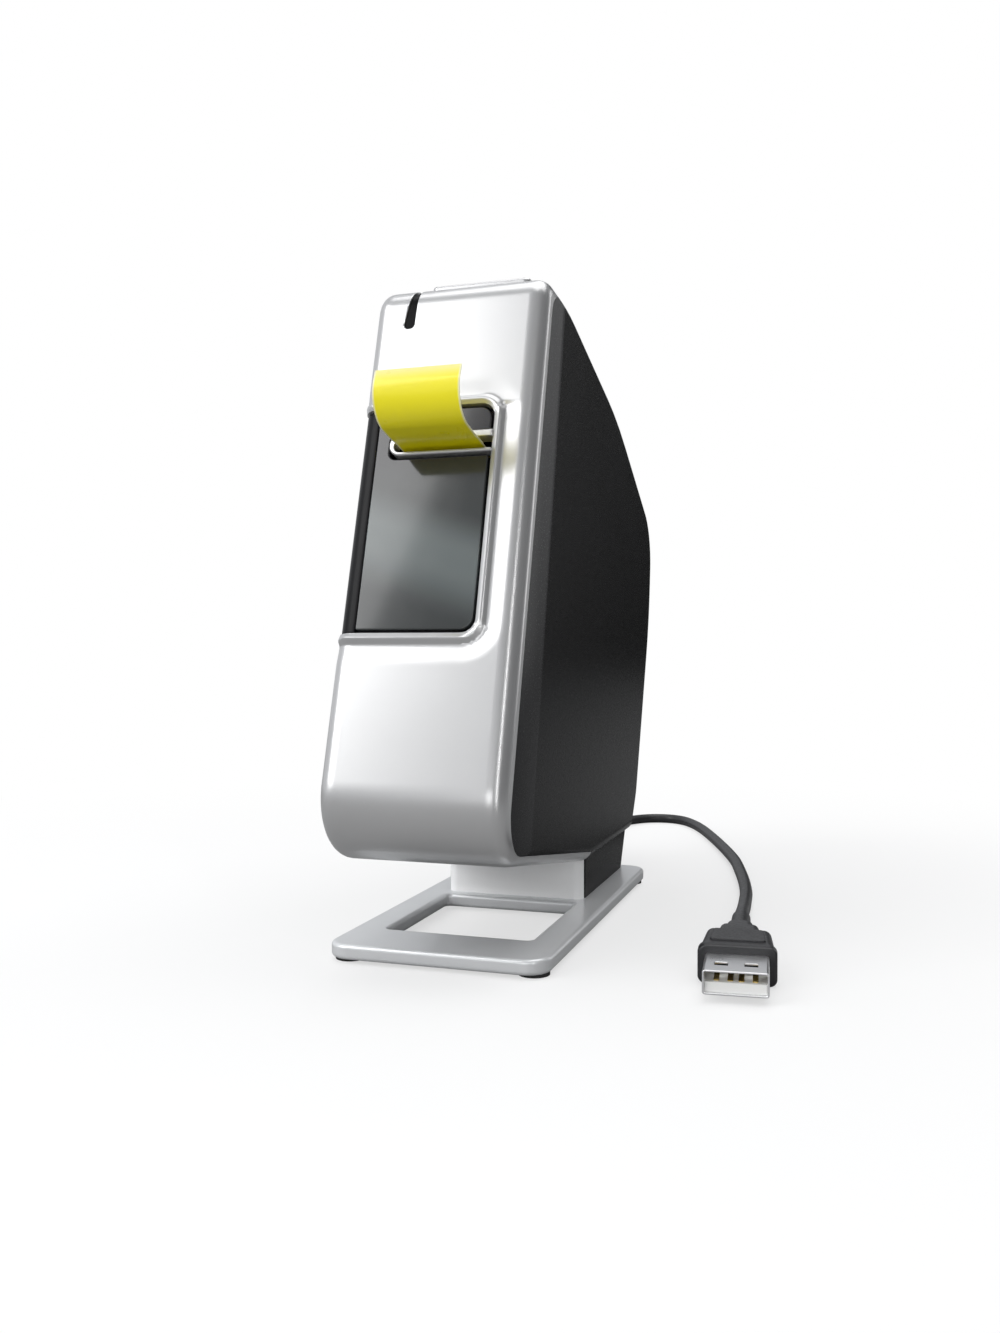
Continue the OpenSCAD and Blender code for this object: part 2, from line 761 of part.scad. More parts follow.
module platen_roller() {
    color("#2a2a2c") in_face() difference() {
        bar(platen_p, platen_r, tape_x0 - 0.2, tape_x1 + 0.2);
        bar(platen_p, platen_shaft_r, tape_x0 - 1, tape_x1 + 1);
    }
}

module platen_shaft() {
    color("#c7cace") in_face() bar(platen_p, platen_shaft_r, tape_x0 - 0.2, plate_x + plate_t);
}

module platen_gear() {
    color("#ece9df") in_face() gear(platen_p, teeth_platen, front_dir, platen_shaft_r);
}

module ribbon_gear() {
    color("#ece9df") in_face() {
        gear(ribbon_p, teeth_ribbon, ribbon_phase, 0);
        bar(ribbon_p, spindle_r, tape_x0 + 1, plate_x + plate_t);
    }
}

module ribbon_core() {
    color("#f2f2f0") in_face() difference() {
        bar(ribbon_p, core_r, tape_x0, tape_x1);
        bar(ribbon_p, spindle_r, tape_x0 - 1, tape_x1 + 1);
    }
}

module printhead() {
    color("#f4f1e6") in_face()
        box(
            [tape_x0 - 0.2, platen_p[0] - head_d / 2, head_z],
            [tape_x1 + 0.2, platen_p[0] + head_d / 2, head_z + head_t]
        );
}

module printhead_bracket() {
    y0 = platen_p[0] - head_d / 2 - 0.2;
    y1 = platen_p[0] + head_d / 2 + 1;
    color("#a9adb2") in_face() {
        box([tape_x0 - 0.2, y0, head_z + head_t], [frame_x, y1, head_z + head_t + 1]);
        box([frame_x - 1, y0, head_z + head_t + 0.9], [frame_x, y1, head_z + 9]);
    }
}

cassette_corners = [
    [cassette_y0, cassette_low, 4],
    [cassette_y1, cassette_low, 4],
    [cassette_y1, cassette_top, 6],
    [notch_y, cassette_top, 1],
    [notch_y, notch_floor, 0.5],
    [cassette_y0, notch_floor, 2]
];
module cassette_half(x0, x1, open0, open1) {
    in_face() difference() {
        across(x0, x1) polygon(rounded(cassette_corners));
        across(x0 + open0, x1 - open1) polygon(rounded(inset(cassette_corners, cassette_wall)));
        box([x0 - 1, notch_y - 1, -0.8], [x1 + 1, notch_y + cassette_wall + 1, 0.8]);
        bar(ribbon_p, spindle_r + 0.8, x0 - 1, x1 + 1);
    }
}

module cassette_tray() {
    color("#5a5c60") {
        cassette_half(tape_x, cassette_x1, -1, cassette_wall);
        in_face() {
            bar(roll_p, roll_core_r - run_gap, tape_x0 + 1, cassette_x1 - cassette_wall + eps);
            bar(supply_p, supply_core_r - run_gap, tape_x0 + 1, cassette_x1 - cassette_wall + eps);
        }
    }
}

module cassette_lid() {
    color("#6a6c70") cassette_half(cassette_x0, tape_x, cassette_wall, -1);
}

module tape_roll() {
    color("#f2e600") in_face() difference() {
        bar(roll_p, roll_r, tape_x0, tape_x1);
        bar(roll_p, roll_core_r + core_wall, tape_x0 - 1, tape_x1 + 1);
    }
}

module tape_core() {
    color("#f2f2f0") in_face() difference() {
        bar(roll_p, roll_core_r + core_wall, tape_x0, tape_x1);
        bar(roll_p, roll_core_r, tape_x0 - 1, tape_x1 + 1);
    }
}

module ribbon_supply() {
    color("#26262a") in_face() difference() {
        bar(supply_p, supply_r, tape_x0, tape_x1);
        bar(supply_p, supply_core_r, tape_x0 - 1, tape_x1 + 1);
    }
}

// Outline of a thin band of thickness t along a line of points
function side_of(p, i) = let(
    d = unit(p[min(i + 1, len(p) - 1)] - p[max(i - 1, 0)])
) [-d[1], d[0]];
function band(p, t) = concat(
    [for (i = [0:len(p) - 1]) p[i] + side_of(p, i) * t / 2],
    [for (i = [len(p) - 1:-1:0]) p[i] - side_of(p, i) * t / 2]
);

module tape_web() {
    color("#f2e600") in_face() across(tape_x0, tape_x1) polygon(band([
        [blade_y + blade_t + 0.5, 0], [notch_y + 4, 0], [roll_p[0] - 3, roll_p[1] + roll_r + 1.2]
    ], tape_t));
}

module label_strip() {
    curl = [for (a = [-90:10:8]) [-strip_out - curl_r * cos(a), curl_r * (1 + sin(a)) - strip_drop]];
    color("#f6ea00") in_face() across(tape_x0, tape_x1) polygon(band(concat(
        [[blade_y - 0.4, 0], [-1, 0], [-strip_out / 2, -0.7 * strip_drop]],
        curl,
        [curl[len(curl) - 1] + strip_tip * [0.14, 0.99]]
    ), tape_t));
}

module cassette_door() {
    z0 = window_low + door_gap;
    z1 = window_top - door_gap;
    panel_y1 = door_hinge_y - hinge_r - 0.5;
    color("#151517") in_face() {
        difference() {
            union() {
                box([-half_w, band_d + door_gap, door_low + door_gap], [-half_w + door_t, panel_y1, z1]);
                box([-half_w, pane_y0, z0], [-half_w + 3, band_d + door_gap + eps, z1]);
                rounded_slab(
                    [-half_w + 1, pane_y0 + pane_t, z0],
                    [window_right - door_gap, pane_y0 + pane_t + pane_back_t, z1], pane_r
                );
            }
            box([view_x0, -1, view_z0], [view_x1, band_d, view_z1]);
            box([lip_left - door_gap, -1, notch_low], [window_right + 1, band_d, notch_top]);
        }
        door_knuckles(door_hinge_y, door_low, window_top);
    }
}

module door_window() {
    z0 = window_low + door_gap;
    z1 = window_top - door_gap;
    color("#3c4448") in_face() difference() {
        rounded_slab(
            [-half_w + 3 - pane_r, pane_y0, z0],
            [window_right - door_gap, pane_y0 + pane_t, z1], pane_r
        );
        box([-half_w - 1, -1, z0 - 1], [-half_w + 3, 5, z1 + 1]);
        box([lip_left - door_gap, -1, notch_low], [window_right + 1, band_d, notch_top]);
    }
}

module door_pin() {
    hinge_pin(door_hinge_y, door_low, window_top);
}

module door_latch() {
    y0 = pane_y0 + pane_t + pane_back_t;
    color("#2c2c2f") in_face() box([view_x1 + 0.2, y0, -30], [cassette_x1 - 0.4, cassette_y0 - 0.3, -26]);
}

module cutter_button() {
    color("#cfd0d2") in_face() across(button_x0, button_x1) polygon([
        [button_y0, button_foot], [button_y1, button_foot],
        [button_y1, top_at(button_y1) + button_proud], [button_y0, top_at(button_y0) + button_proud]
    ]);
}

module cutter_carrier() {
    color("#44464a") in_face() {
        box([button_x0, blade_y + blade_t, 5], [tape_x1, blade_y + blade_t + 1.6, button_foot]);
        for (x = spring_x) box(
            [x - 2, blade_y + blade_t + 1.5, spring_top], [x + 2, spring_y + 1.9, spring_top + 1.4]
        );
    }
}

module cutter_blade() {
    color("#d5d8dc") in_face() translate([0, blade_y + blade_t, 0]) rotate([90, 0, 0])
        linear_extrude(blade_t) polygon([
            [tape_x0 - 0.8, blade_z], [tape_x1 + 0.8, blade_z + 1], [tape_x1 + 0.8, 10], [tape_x0 - 0.8, 10]
        ]);
}

module cutter_springs() {
    color("#c7cace") in_face() for (x = spring_x) translate([x, spring_y, spring_low])
        coil(1.2, 0.2, spring_top - spring_low, 6);
}

module power_button() {
    color("#5d6064") on_slope() {
        translate([0, 0, -4]) cylinder(r = power_r, h = 4.8);
        translate([0, 0, -wall - 1.9]) cylinder(r = power_r + 1.4, h = 1.4);
    }
}

module power_switch() {
    color("#303236") on_slope() {
        box([-3, -3, -12], [3, 3, -9]);
        translate([0, 0, -9]) cylinder(r = 1.2, h = 3.6);
    }
}

module power_spring() {
    color("#c7cace") on_slope() translate([0, 0, -9]) coil(2.6, 0.2, 5, 4);
}

module circuit_board() {
    color("#1f6b3a") in_face() difference() {
        box([board_x, board_y0, board_z0], [board_x + board_t, board_y1, board_z1]);
        for (p = board_posts) bar(p, 0.9, board_x - 1, board_x + board_t + 1);
    }
}

module board_parts() {
    color("#1a1a1c") in_face() {
        box([board_x - 1.4, board_y0 + 8, board_z0 + 8], [board_x, board_y0 + 18, board_z0 + 18]);
        box([board_x - 1, board_y0 + 22, board_z0 + 6], [board_x, board_y0 + 28, board_z0 + 11]);
        box([board_x - 3.4, board_y1 - 9, board_z0 + 10], [board_x, board_y1 - 3, board_z0 + 20]);
        for (k = [0:2]) bar([board_y0 + 8 + 8 * k, board_z1 - 5], 1.8, board_x - 3.2, board_x);
    }
}

module battery_tray() {
    color("#3a3c40") in_face() difference() {
        box([tray_x0, bay_y0, bay_z0 + 0.6], [tray_x1, bay_y1, bay_z1 - 0.6]);
        box(
            [tray_x0 - 1, bay_y0 + tray_t, bay_z0 + 0.6 + tray_t],
            [tray_x1 - tray_t, bay_y1 - tray_t, bay_z1 - 0.6 - tray_t]
        );
    }
}

module battery_pack() {
    color("#2f3f6b") in_face() box(
        [tray_x0 + 0.6, bay_y0 + tray_t + 0.4, bay_z0 + tray_t + 1],
        [tray_x1 - tray_t - 0.4, bay_y1 - tray_t - 3, bay_z1 - tray_t - 1]
    );
}

module battery_contacts() {
    color("#d8b45a") in_face() for (k = [-1:1]) {
        z = (bay_z0 + bay_z1) / 2 + 9 * k;
        box([tray_x0 + 3, bay_y1 - tray_t - 3, z - 1.5], [tray_x1 - tray_t - 2, bay_y1 - tray_t, z + 1.5]);
    }
}

module battery_door() {
    color("#19191b") in_face() {
        box(
            [-half_w, bay_y0 - 1 + door_gap, bay_z0 + door_gap],
            [-half_w + door_t, battery_hinge_y - hinge_r - 0.5, bay_z1 - door_gap]
        );
        door_knuckles(battery_hinge_y, bay_z0, bay_z1);
    }
}

module battery_pin() {
    hinge_pin(battery_hinge_y, bay_z0, bay_z1);
}

module cord_gland() {
    color("#242426") translate([0, gland_y0, gland_z]) rotate([-90, 0, 0]) {
        cylinder(r = gland_r + 1, h = 1.6);
        cylinder(r = gland_r, h = gland_y1 - gland_y0);
        translate([0, 0, gland_y1 - gland_y0]) cylinder(r1 = gland_r, r2 = cord_d / 2 + 0.5, h = boot_l);
    }
}

// The lead's route over the table, from the gland's boot to the plug's relief
lie = cord_d / 2 + 0.1;
lead_route = [
    [0, 0, gland_z], [0, 6, gland_z - 0.3], [-0.5, 13, 6.8], [-1, 20, 4.6], [-2, 27, 2.8],
    [-3, 35, lie + 0.2], [-4, 44, lie], [-4.5, 54, lie], [-4.5, 64, lie], [-3.5, 73, lie], [-0.5, 82, lie], [5, 88.5, lie],
    [12, 90, lie], [18, 86.5, lie], [23, 78.5, lie], [27.5, 68, lie], [32, 55, lie], [36.5, 41, lie],
    [41, 26, lie], [45, 11, lie], [48, -4, lie], [50.5, -18, lie], [52.5, -32, lie], [53.5, -44, lie + 0.1],
    [54.2, -54, lie + 0.6], [54.8, -63, lie + 1.5], [55.4, -70.6, grip_h / 2]
];
lead_points = [for (p = lead_route) p + [0, gland_y1 + boot_l, 0]];
plug_rear = lead_points[len(lead_points) - 1];
function spline(a, b, c, d, t) =
    0.5 * (2 * b + (c - a) * t + (2 * a - 5 * b + 4 * c - d) * t * t + (3 * b - a - 3 * c + d) * t * t * t);
function smooth_line(p, n) = [
    for (i = [0:len(p) - 2], k = [0:n - 1])
        spline(p[max(i - 1, 0)], p[i], p[i + 1], p[min(i + 2, len(p) - 1)], k / n),
    p[len(p) - 1]
];
module usb_lead() {
    color("#303033") tube(smooth_line(lead_points, 2), cord_d / 2, 8);
}

// Frame of the plug: Y runs back from the front of the grip, Z up from its axis
module at_plug() {
    translate(plug_rear) rotate([0, 0, plug_turn]) translate([0, -relief_l - grip_l, 0]) children();
}

module plug_grip() {
    color("#38383b") at_plug() {
        translate([0, 0, -grip_h / 2]) linear_extrude(grip_h) polygon(rounded([
            [-grip_w / 2, 0, 0.8], [grip_w / 2, 0, 0.8], [grip_w / 2, grip_l - 5, 3],
            [grip_w / 4, grip_l, 1.5], [-grip_w / 4, grip_l, 1.5], [-grip_w / 2, grip_l - 5, 3]
        ]));
        translate([0, grip_l - 1, 0]) rotate([-90, 0, 0])
            cylinder(r1 = grip_h / 2 - 0.4, r2 = cord_d / 2 + 0.4, h = relief_l + 1);
    }
}

module plug_shell() {
    color("#d4d7db") at_plug() difference() {
        box([-plug_w / 2, -plug_shell_l, -plug_h / 2], [plug_w / 2, 0, plug_h / 2]);
        box(
            [-plug_w / 2 + shell_t, -plug_shell_l - 1, -plug_h / 2 + shell_t],
            [plug_w / 2 - shell_t, -shell_t, plug_h / 2 - shell_t]
        );
        for (s = [-1, 1]) translate([s * plug_w / 4.4, -plug_shell_l / 2 - 1, 0])
            box([-1.25, -1.2, 0], [1.25, 1.2, plug_h]);
    }
}

module plug_tongue() {
    color("#f3f3f1") at_plug() box(
        [-plug_w / 2 + shell_t, -plug_shell_l + 0.6, -plug_h / 2 + shell_t],
        [plug_w / 2 - shell_t, -shell_t, -plug_h / 2 + shell_t + tongue_t]
    );
}

module plug_contacts() {
    z = -plug_h / 2 + shell_t + tongue_t;
    color("#d9b152") at_plug() for (x = [-3.5, -1, 1, 3.5]) box(
        [x - 0.5, -plug_shell_l + 1.6, z], [x + 0.5, -shell_t - 1, z + 0.15]
    );
}

stand_base();
stand_pads();
stand_screws();
neck_cover();
front_shell();
right_cover();
left_cover();
status_lens();
exit_lip();
inner_frame();
gear_plate();
gear_posts();
case_screws();
motor();
motor_pinion();
idler_rear();
idler_front();
platen_roller();
platen_shaft();
platen_gear();
ribbon_gear();
printhead();
printhead_bracket();
cassette_tray();
cassette_lid();
tape_roll();
tape_core();
tape_web();
ribbon_supply();
ribbon_core();
label_strip();
cassette_door();
door_window();
door_pin();
door_latch();
cutter_button();
cutter_carrier();
cutter_blade();
cutter_springs();
power_button();
power_switch();
power_spring();
circuit_board();
board_parts();
battery_tray();
battery_pack();
battery_contacts();
battery_door();
battery_pin();
cord_gland();
usb_lead();
plug_grip();
plug_shell();
plug_tongue();
plug_contacts();
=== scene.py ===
"""Looks of a desktop label maker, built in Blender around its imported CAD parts.

Lengths in the classes are millimetres and turn into metres as each mesh is made. X runs across the
printer, Y towards its back and Z up. "Face" places are (x, depth, rise): depth goes square into the
slanted front face from the tape slot, and rise goes up along that face.
"""

import logging
import math
from dataclasses import dataclass, field
from enum import Enum
from typing import Callable, Iterable, Sequence

import bmesh
import bpy
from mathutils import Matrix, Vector
from mathutils.geometry import tessellate_polygon


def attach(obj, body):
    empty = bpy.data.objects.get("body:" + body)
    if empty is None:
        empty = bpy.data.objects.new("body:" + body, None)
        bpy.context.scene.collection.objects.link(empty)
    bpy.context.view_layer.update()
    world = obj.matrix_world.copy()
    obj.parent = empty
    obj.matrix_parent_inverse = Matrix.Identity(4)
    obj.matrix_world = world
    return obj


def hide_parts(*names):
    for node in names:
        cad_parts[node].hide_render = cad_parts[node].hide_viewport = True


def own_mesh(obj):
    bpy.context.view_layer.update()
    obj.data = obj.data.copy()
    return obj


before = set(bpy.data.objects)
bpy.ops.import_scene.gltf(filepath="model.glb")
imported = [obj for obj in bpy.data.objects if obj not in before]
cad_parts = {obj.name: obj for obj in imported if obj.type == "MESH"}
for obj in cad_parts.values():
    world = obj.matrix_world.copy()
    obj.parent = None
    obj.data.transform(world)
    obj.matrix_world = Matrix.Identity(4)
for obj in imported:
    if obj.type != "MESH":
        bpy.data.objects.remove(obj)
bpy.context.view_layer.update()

Point2 = tuple[float, float]
Point3 = tuple[float, float, float]
Corner = tuple[float, float, float]
Ring = list[Point3]

MM = 0.001
HOUSING = "housing"
COAT_ROUGHNESS = 0.06
MOTTLE_CELLS = 60.0
BRUSH_STRETCH = 0.06
BUMP_STRENGTH = 0.6
log = logging.getLogger("label_maker")


# ---------------------------------------------------------------- finishes


class Grain(Enum):
    """Surface texture of a finish: (cells per metre, depth of the bump in metres)."""

    POLISHED = (250.0, 0.0)
    PAINTED = (350.0, 0.0)
    MOULDED = (3200.0, 0.000010)
    RUBBERY = (1800.0, 0.000014)
    BRUSHED = (1500.0, 0.000004)

    @property
    def cells(self) -> float:
        """Cells of the grain per metre."""
        return self.value[0]

    @property
    def depth(self) -> float:
        """Depth of the grain in metres."""
        return self.value[1]


@dataclass(frozen=True)
class Finish:
    """A moulded, painted or metal surface made of nodes."""

    name: str
    colour: Point3
    roughness: float
    grain: Grain = Grain.MOULDED
    metallic: float = 0.0
    specular: float = 0.5
    coat: float = 0.0
    tint: float = 0.08
    alpha: float = 1.0

    def paint(self, maker: "NodeMaker", base: bpy.types.NodeSocket) -> bpy.types.NodeSocket:
        """Lets a finish change its colour over the surface.

        Args:
            maker: The node maker of this material.
            base: The colour with the finish's own mottling.

        Returns:
            The colour socket to use.
        """
        return base

    def material(self) -> bpy.types.Material:
        """The finish's material, made once and shared.

        Returns:
            The Blender material.
        """
        known = bpy.data.materials.get(self.name)
        if known is not None:
            return known
        made = bpy.data.materials.new(self.name)
        made.use_nodes = True
        made.diffuse_color = (*self.colour, 1.0)
        maker = NodeMaker(made)
        shader = maker.shader
        shader.inputs["Metallic"].default_value = self.metallic
        shader.inputs["Specular IOR Level"].default_value = self.specular
        shader.inputs["Coat Weight"].default_value = self.coat
        shader.inputs["Coat Roughness"].default_value = COAT_ROUGHNESS
        shader.inputs["Alpha"].default_value = self.alpha
        stretch = (1.0, 1.0, BRUSH_STRETCH) if self.grain is Grain.BRUSHED else (1.0, 1.0, 1.0)
        broad = maker.noise(MOTTLE_CELLS, stretch, 3.0)
        fine = maker.noise(self.grain.cells, stretch, 2.0)
        light = [min(1.0, c * (1 + self.tint) + 0.001) for c in self.colour]
        dark = [c * (1 - self.tint) for c in self.colour]
        mottled = maker.mix(maker.ranged(broad, 0.3, 0.7, 0.0, 1.0), dark, light)
        maker.join(self.paint(maker, mottled), shader.inputs["Base Color"])
        shader.inputs["Roughness"].default_value = self.roughness
        if self.grain is not Grain.PAINTED:
            low, high = self.roughness * 0.9, min(1.0, self.roughness * 1.12)
            maker.join(maker.ranged(fine, 0.25, 0.75, low, high), shader.inputs["Roughness"])
        if self.grain.depth > 0:
            maker.join(maker.bump(fine, self.grain.depth), shader.inputs["Normal"])
        return made


class NodeMaker:
    """Adds nodes to one material and wires them up."""

    def __init__(self, material: bpy.types.Material) -> None:
        """Takes the material's node tree and places its coordinates.

        Args:
            material: The material to fill.
        """
        self.tree = material.node_tree
        self.shader = self.tree.nodes["Principled BSDF"]
        self.place = self.tree.nodes.new("ShaderNodeTexCoord").outputs["Object"]

    def join(self, a: bpy.types.NodeSocket, b: bpy.types.NodeSocket) -> None:
        """Links socket a to socket b."""
        self.tree.links.new(a, b)

    def noise(self, cells: float, stretch: Point3, detail: float) -> bpy.types.NodeSocket:
        """A noise over the row frame.

        Args:
            cells: Cells per metre.
            stretch: Scale along each axis.
            detail: Octaves of detail.

        Returns:
            The noise's factor.
        """
        mapping = self.tree.nodes.new("ShaderNodeMapping")
        mapping.inputs["Scale"].default_value = stretch
        self.join(self.place, mapping.inputs["Vector"])
        node = self.tree.nodes.new("ShaderNodeTexNoise")
        node.inputs["Scale"].default_value = cells
        node.inputs["Detail"].default_value = detail
        self.join(mapping.outputs["Vector"], node.inputs["Vector"])
        return node.outputs["Fac"]

    def ranged(
        self, source: bpy.types.NodeSocket, a: float, b: float, low: float, high: float
    ) -> bpy.types.NodeSocket:
        """Maps a value from a..b to low..high, clamped and smooth.

        Args:
            source: The value.
            a: Value that gives low.
            b: Value that gives high.
            low: First result.
            high: Last result.

        Returns:
            The mapped value.
        """
        node = self.tree.nodes.new("ShaderNodeMapRange")
        node.interpolation_type = "SMOOTHSTEP"
        for key, value in zip(("From Min", "From Max", "To Min", "To Max"), (a, b, low, high)):
            node.inputs[key].default_value = value
        self.join(source, node.inputs["Value"])
        return node.outputs["Result"]

    def mix(
        self,
        factor: bpy.types.NodeSocket,
        a: bpy.types.NodeSocket | Sequence[float],
        b: bpy.types.NodeSocket | Sequence[float],
    ) -> bpy.types.NodeSocket:
        """Mixes two colours.

        Args:
            factor: Share of b.
            a: A colour socket, or three numbers.
            b: A colour socket, or three numbers.

        Returns:
            The mixed colour.
        """
        node = self.tree.nodes.new("ShaderNodeMix")
        node.data_type = "RGBA"
        self.join(factor, node.inputs[0])
        for value, socket in ((a, node.inputs[6]), (b, node.inputs[7])):
            if isinstance(value, bpy.types.NodeSocket):
                self.join(value, socket)
            else:
                socket.default_value = (*value, 1.0)
        return node.outputs[2]

    def along(self, origin: Point3, direction: Point3) -> bpy.types.NodeSocket:
        """Distance along a direction from a point, in metres.

        Args:
            origin: Point where the distance is zero, in metres.
            direction: Unit direction.

        Returns:
            The distance.
        """
        shift = self.tree.nodes.new("ShaderNodeVectorMath")
        shift.operation = "SUBTRACT"
        shift.inputs[1].default_value = origin
        self.join(self.place, shift.inputs[0])
        dot = self.tree.nodes.new("ShaderNodeVectorMath")
        dot.operation = "DOT_PRODUCT"
        dot.inputs[1].default_value = direction
        self.join(shift.outputs["Vector"], dot.inputs[0])
        return dot.outputs["Value"]

    def bump(self, height: bpy.types.NodeSocket, depth: float) -> bpy.types.NodeSocket:
        """A bumped normal.

        Args:
            height: The height, 0 to 1.
            depth: The depth in metres.

        Returns:
            The normal.
        """
        node = self.tree.nodes.new("ShaderNodeBump")
        node.inputs["Strength"].default_value = BUMP_STRENGTH
        node.inputs["Distance"].default_value = depth
        self.join(height, node.inputs["Height"])
        return node.outputs["Normal"]


@dataclass(frozen=True)
class SmokedPane(Finish):
    """Smoked clear plastic, near black beside and above the slot, with a painted grey-green sheen below
    it: a diagonal band of painted reflection.
    """

    origin: Point3 = (0.0, 0.0, 0.0)
    up: Point3 = (0.0, 0.0, 1.0)
    # Colour of the painted reflection, a sheen band across the smoked pane.
    painted_sheen: Point3 = (0.13, 0.15, 0.15)
    deep: Point3 = (0.018, 0.017, 0.021)
    slant: float = 0.34
    fade_in: Point2 = (-0.012, -0.021)
    fade_out: Point2 = (-0.0245, -0.036)
    slot_fade: Point2 = (-0.009, 0.001)

    def paint(self, maker: NodeMaker, base: bpy.types.NodeSocket) -> bpy.types.NodeSocket:
        """Paints a reflected sheen that fades in from the slot to the middle of the pane and out again
        below.

        Args:
            maker: The node maker of this material.
            base: The smoke's own colour.

        Returns:
            The colour socket to use.
        """
        rise = maker.along(self.origin, self.up)
        slant = maker.along(self.origin, tuple(Vector((self.slant, 0, 0)) + Vector(self.up)))
        # Painted reflection: a diagonal band of grey-green sheen across the pane's smoke.
        with_painted_sheen = maker.mix(maker.ranged(slant, *self.fade_in, 0.0, 1.0), base, self.painted_sheen)
        faded = maker.mix(maker.ranged(slant, *self.fade_out, 0.0, 1.0), with_painted_sheen, base)
        return maker.mix(maker.ranged(rise, *self.slot_fade, 0.0, 1.0), faded, self.deep)


@dataclass(frozen=True)
class CoverBlack(Finish):
    """Satin black with painted shade that deepens it towards the stand, and a painted reflection that
    makes the planed strip by the band paler.
    """

    strip_at: Point3 = (0.0192, -0.0325, 0.1309)
    strip_out: Point3 = (1.0, 0.0, 0.0)
    # pale and dim: the painted reflection on the strip, at its top and at its foot; deep: painted shade
    # low on the side.
    pale: Point3 = (0.06, 0.06, 0.062)
    dim: Point3 = (0.02, 0.02, 0.021)
    deep: Point3 = (0.003, 0.003, 0.0032)
    painted_shade_rise: Point2 = (0.05, 0.125)
    painted_reflection_rise: Point2 = (0.03, 0.12)
    strip_edge: Point2 = (-0.00009, -0.00003)

    def paint(self, maker: NodeMaker, base: bpy.types.NodeSocket) -> bpy.types.NodeSocket:
        """Paints shade that deepens the black downwards, and paints a reflection that pales the strip,
        brighter higher up.

        Args:
            maker: The node maker of this material.
            base: The cover's own black.

        Returns:
            The colour socket to use.
        """
        rise = maker.along((0, 0, 0), (0.0, 0.0, 1.0))
        # Painted shade: the side darkens towards the stand.
        side = maker.mix(maker.ranged(rise, *self.painted_shade_rise, 0.0, 1.0), self.deep, base)
        # Painted reflection on the planed strip, paler higher up.
        strip = maker.mix(maker.ranged(rise, *self.painted_reflection_rise, 0.0, 1.0), self.dim, self.pale)
        out = maker.along(self.strip_at, self.strip_out)
        return maker.mix(maker.ranged(out, *self.strip_edge, 0.0, 1.0), side, strip)


@dataclass(frozen=True)
class LaminatedTape(Finish):
    """Laminated label tape with a pale clear margin along each edge."""

    middle: float = 0.0
    half: float = 9.0
    margin: float = 0.45
    top: float = 120.0
    pale: Point3 = (0.93, 0.9, 0.62)
    cut_end: Point2 = (-0.0028, 0.0004)

    def paint(self, maker: NodeMaker, base: bpy.types.NodeSocket) -> bpy.types.NodeSocket:
        """Pales the margins and the cut end.

        Args:
            maker: The node maker of this material.
            base: The tape's yellow.

        Returns:
            The colour socket to use.
        """
        right = maker.along(((self.middle + self.half) * MM, 0, 0), (1.0, 0.0, 0.0))
        left = maker.along(((self.middle - self.half) * MM, 0, 0), (-1.0, 0.0, 0.0))
        edge = -self.margin * MM
        one = maker.mix(maker.ranged(right, edge, edge * 0.3, 0.0, 0.8), base, self.pale)
        two = maker.mix(maker.ranged(left, edge, edge * 0.3, 0.0, 0.8), one, self.pale)
        end = maker.along((0, 0, self.top * MM), (0.0, 0.0, 1.0))
        return maker.mix(maker.ranged(end, *self.cut_end, 0.0, 0.55), two, self.pale)


SILVER = Finish("silver_paint", (0.56, 0.56, 0.562), 0.29, Grain.PAINTED, 0.72, 0.5, 0.1, 0.012)
WHITE = Finish("pale_neck", (0.95, 0.95, 0.95), 0.36, Grain.PAINTED, 0.0, 0.5, 0.1, 0.015)
BASE_SILVER = Finish("stand_silver", (0.76, 0.77, 0.78), 0.32, Grain.PAINTED, 0.35, 0.5, 0.2, 0.02)
BLACK = Finish("satin_black", (0.009, 0.009, 0.0095), 0.25, Grain.MOULDED, 0.0, 0.04, 0.0, 0.15)
GLOSS_BLACK = Finish("gloss_black", (0.008, 0.008, 0.009), 0.16, Grain.POLISHED, 0.0, 0.4, 0.3, 0.15)
DOOR_BLACK = Finish("door_black", (0.007, 0.007, 0.008), 0.32, Grain.MOULDED, 0.0, 0.12, 0.0, 0.15)
GREY_PLASTIC = Finish("grey_moulding", (0.105, 0.11, 0.115), 0.5, Grain.MOULDED)
BUTTON_GREY = Finish("button_grey", (0.3, 0.31, 0.33), 0.36, Grain.MOULDED)
STEEL = Finish("steel", (0.56, 0.57, 0.59), 0.3, Grain.BRUSHED, 1.0)
NICKEL = Finish("nickel", (0.88, 0.88, 0.89), 0.3, Grain.POLISHED, 1.0, 0.5, 0.0, 0.03)
BRASS = Finish("brass", (0.78, 0.58, 0.25), 0.28, Grain.BRUSHED, 1.0)
GOLD = Finish("contact_gold", (0.85, 0.62, 0.2), 0.22, Grain.POLISHED, 1.0)
ACETAL = Finish("acetal", (0.82, 0.81, 0.75), 0.42, Grain.POLISHED, 0.0, 0.5, 0.0, 0.03)
RUBBER = Finish("rubber", (0.028, 0.028, 0.03), 0.72, Grain.RUBBERY, 0.0, 0.4)
CERAMIC = Finish("glazed_ceramic", (0.86, 0.84, 0.77), 0.18, Grain.POLISHED, 0.0, 0.5, 0.5, 0.03)
CASSETTE = Finish("cassette_grey", (0.1, 0.105, 0.11), 0.45, Grain.MOULDED)
RIBBON = Finish("ribbon_black", (0.016, 0.016, 0.02), 0.25, Grain.POLISHED)
BOARD = Finish("board_green", (0.03, 0.19, 0.08), 0.35, Grain.POLISHED, 0.0, 0.5, 0.3)
CHIP = Finish("chip_black", (0.025, 0.025, 0.026), 0.55, Grain.MOULDED)
BATTERY = Finish("battery_sleeve", (0.04, 0.065, 0.17), 0.28, Grain.POLISHED, 0.0, 0.5, 0.3)
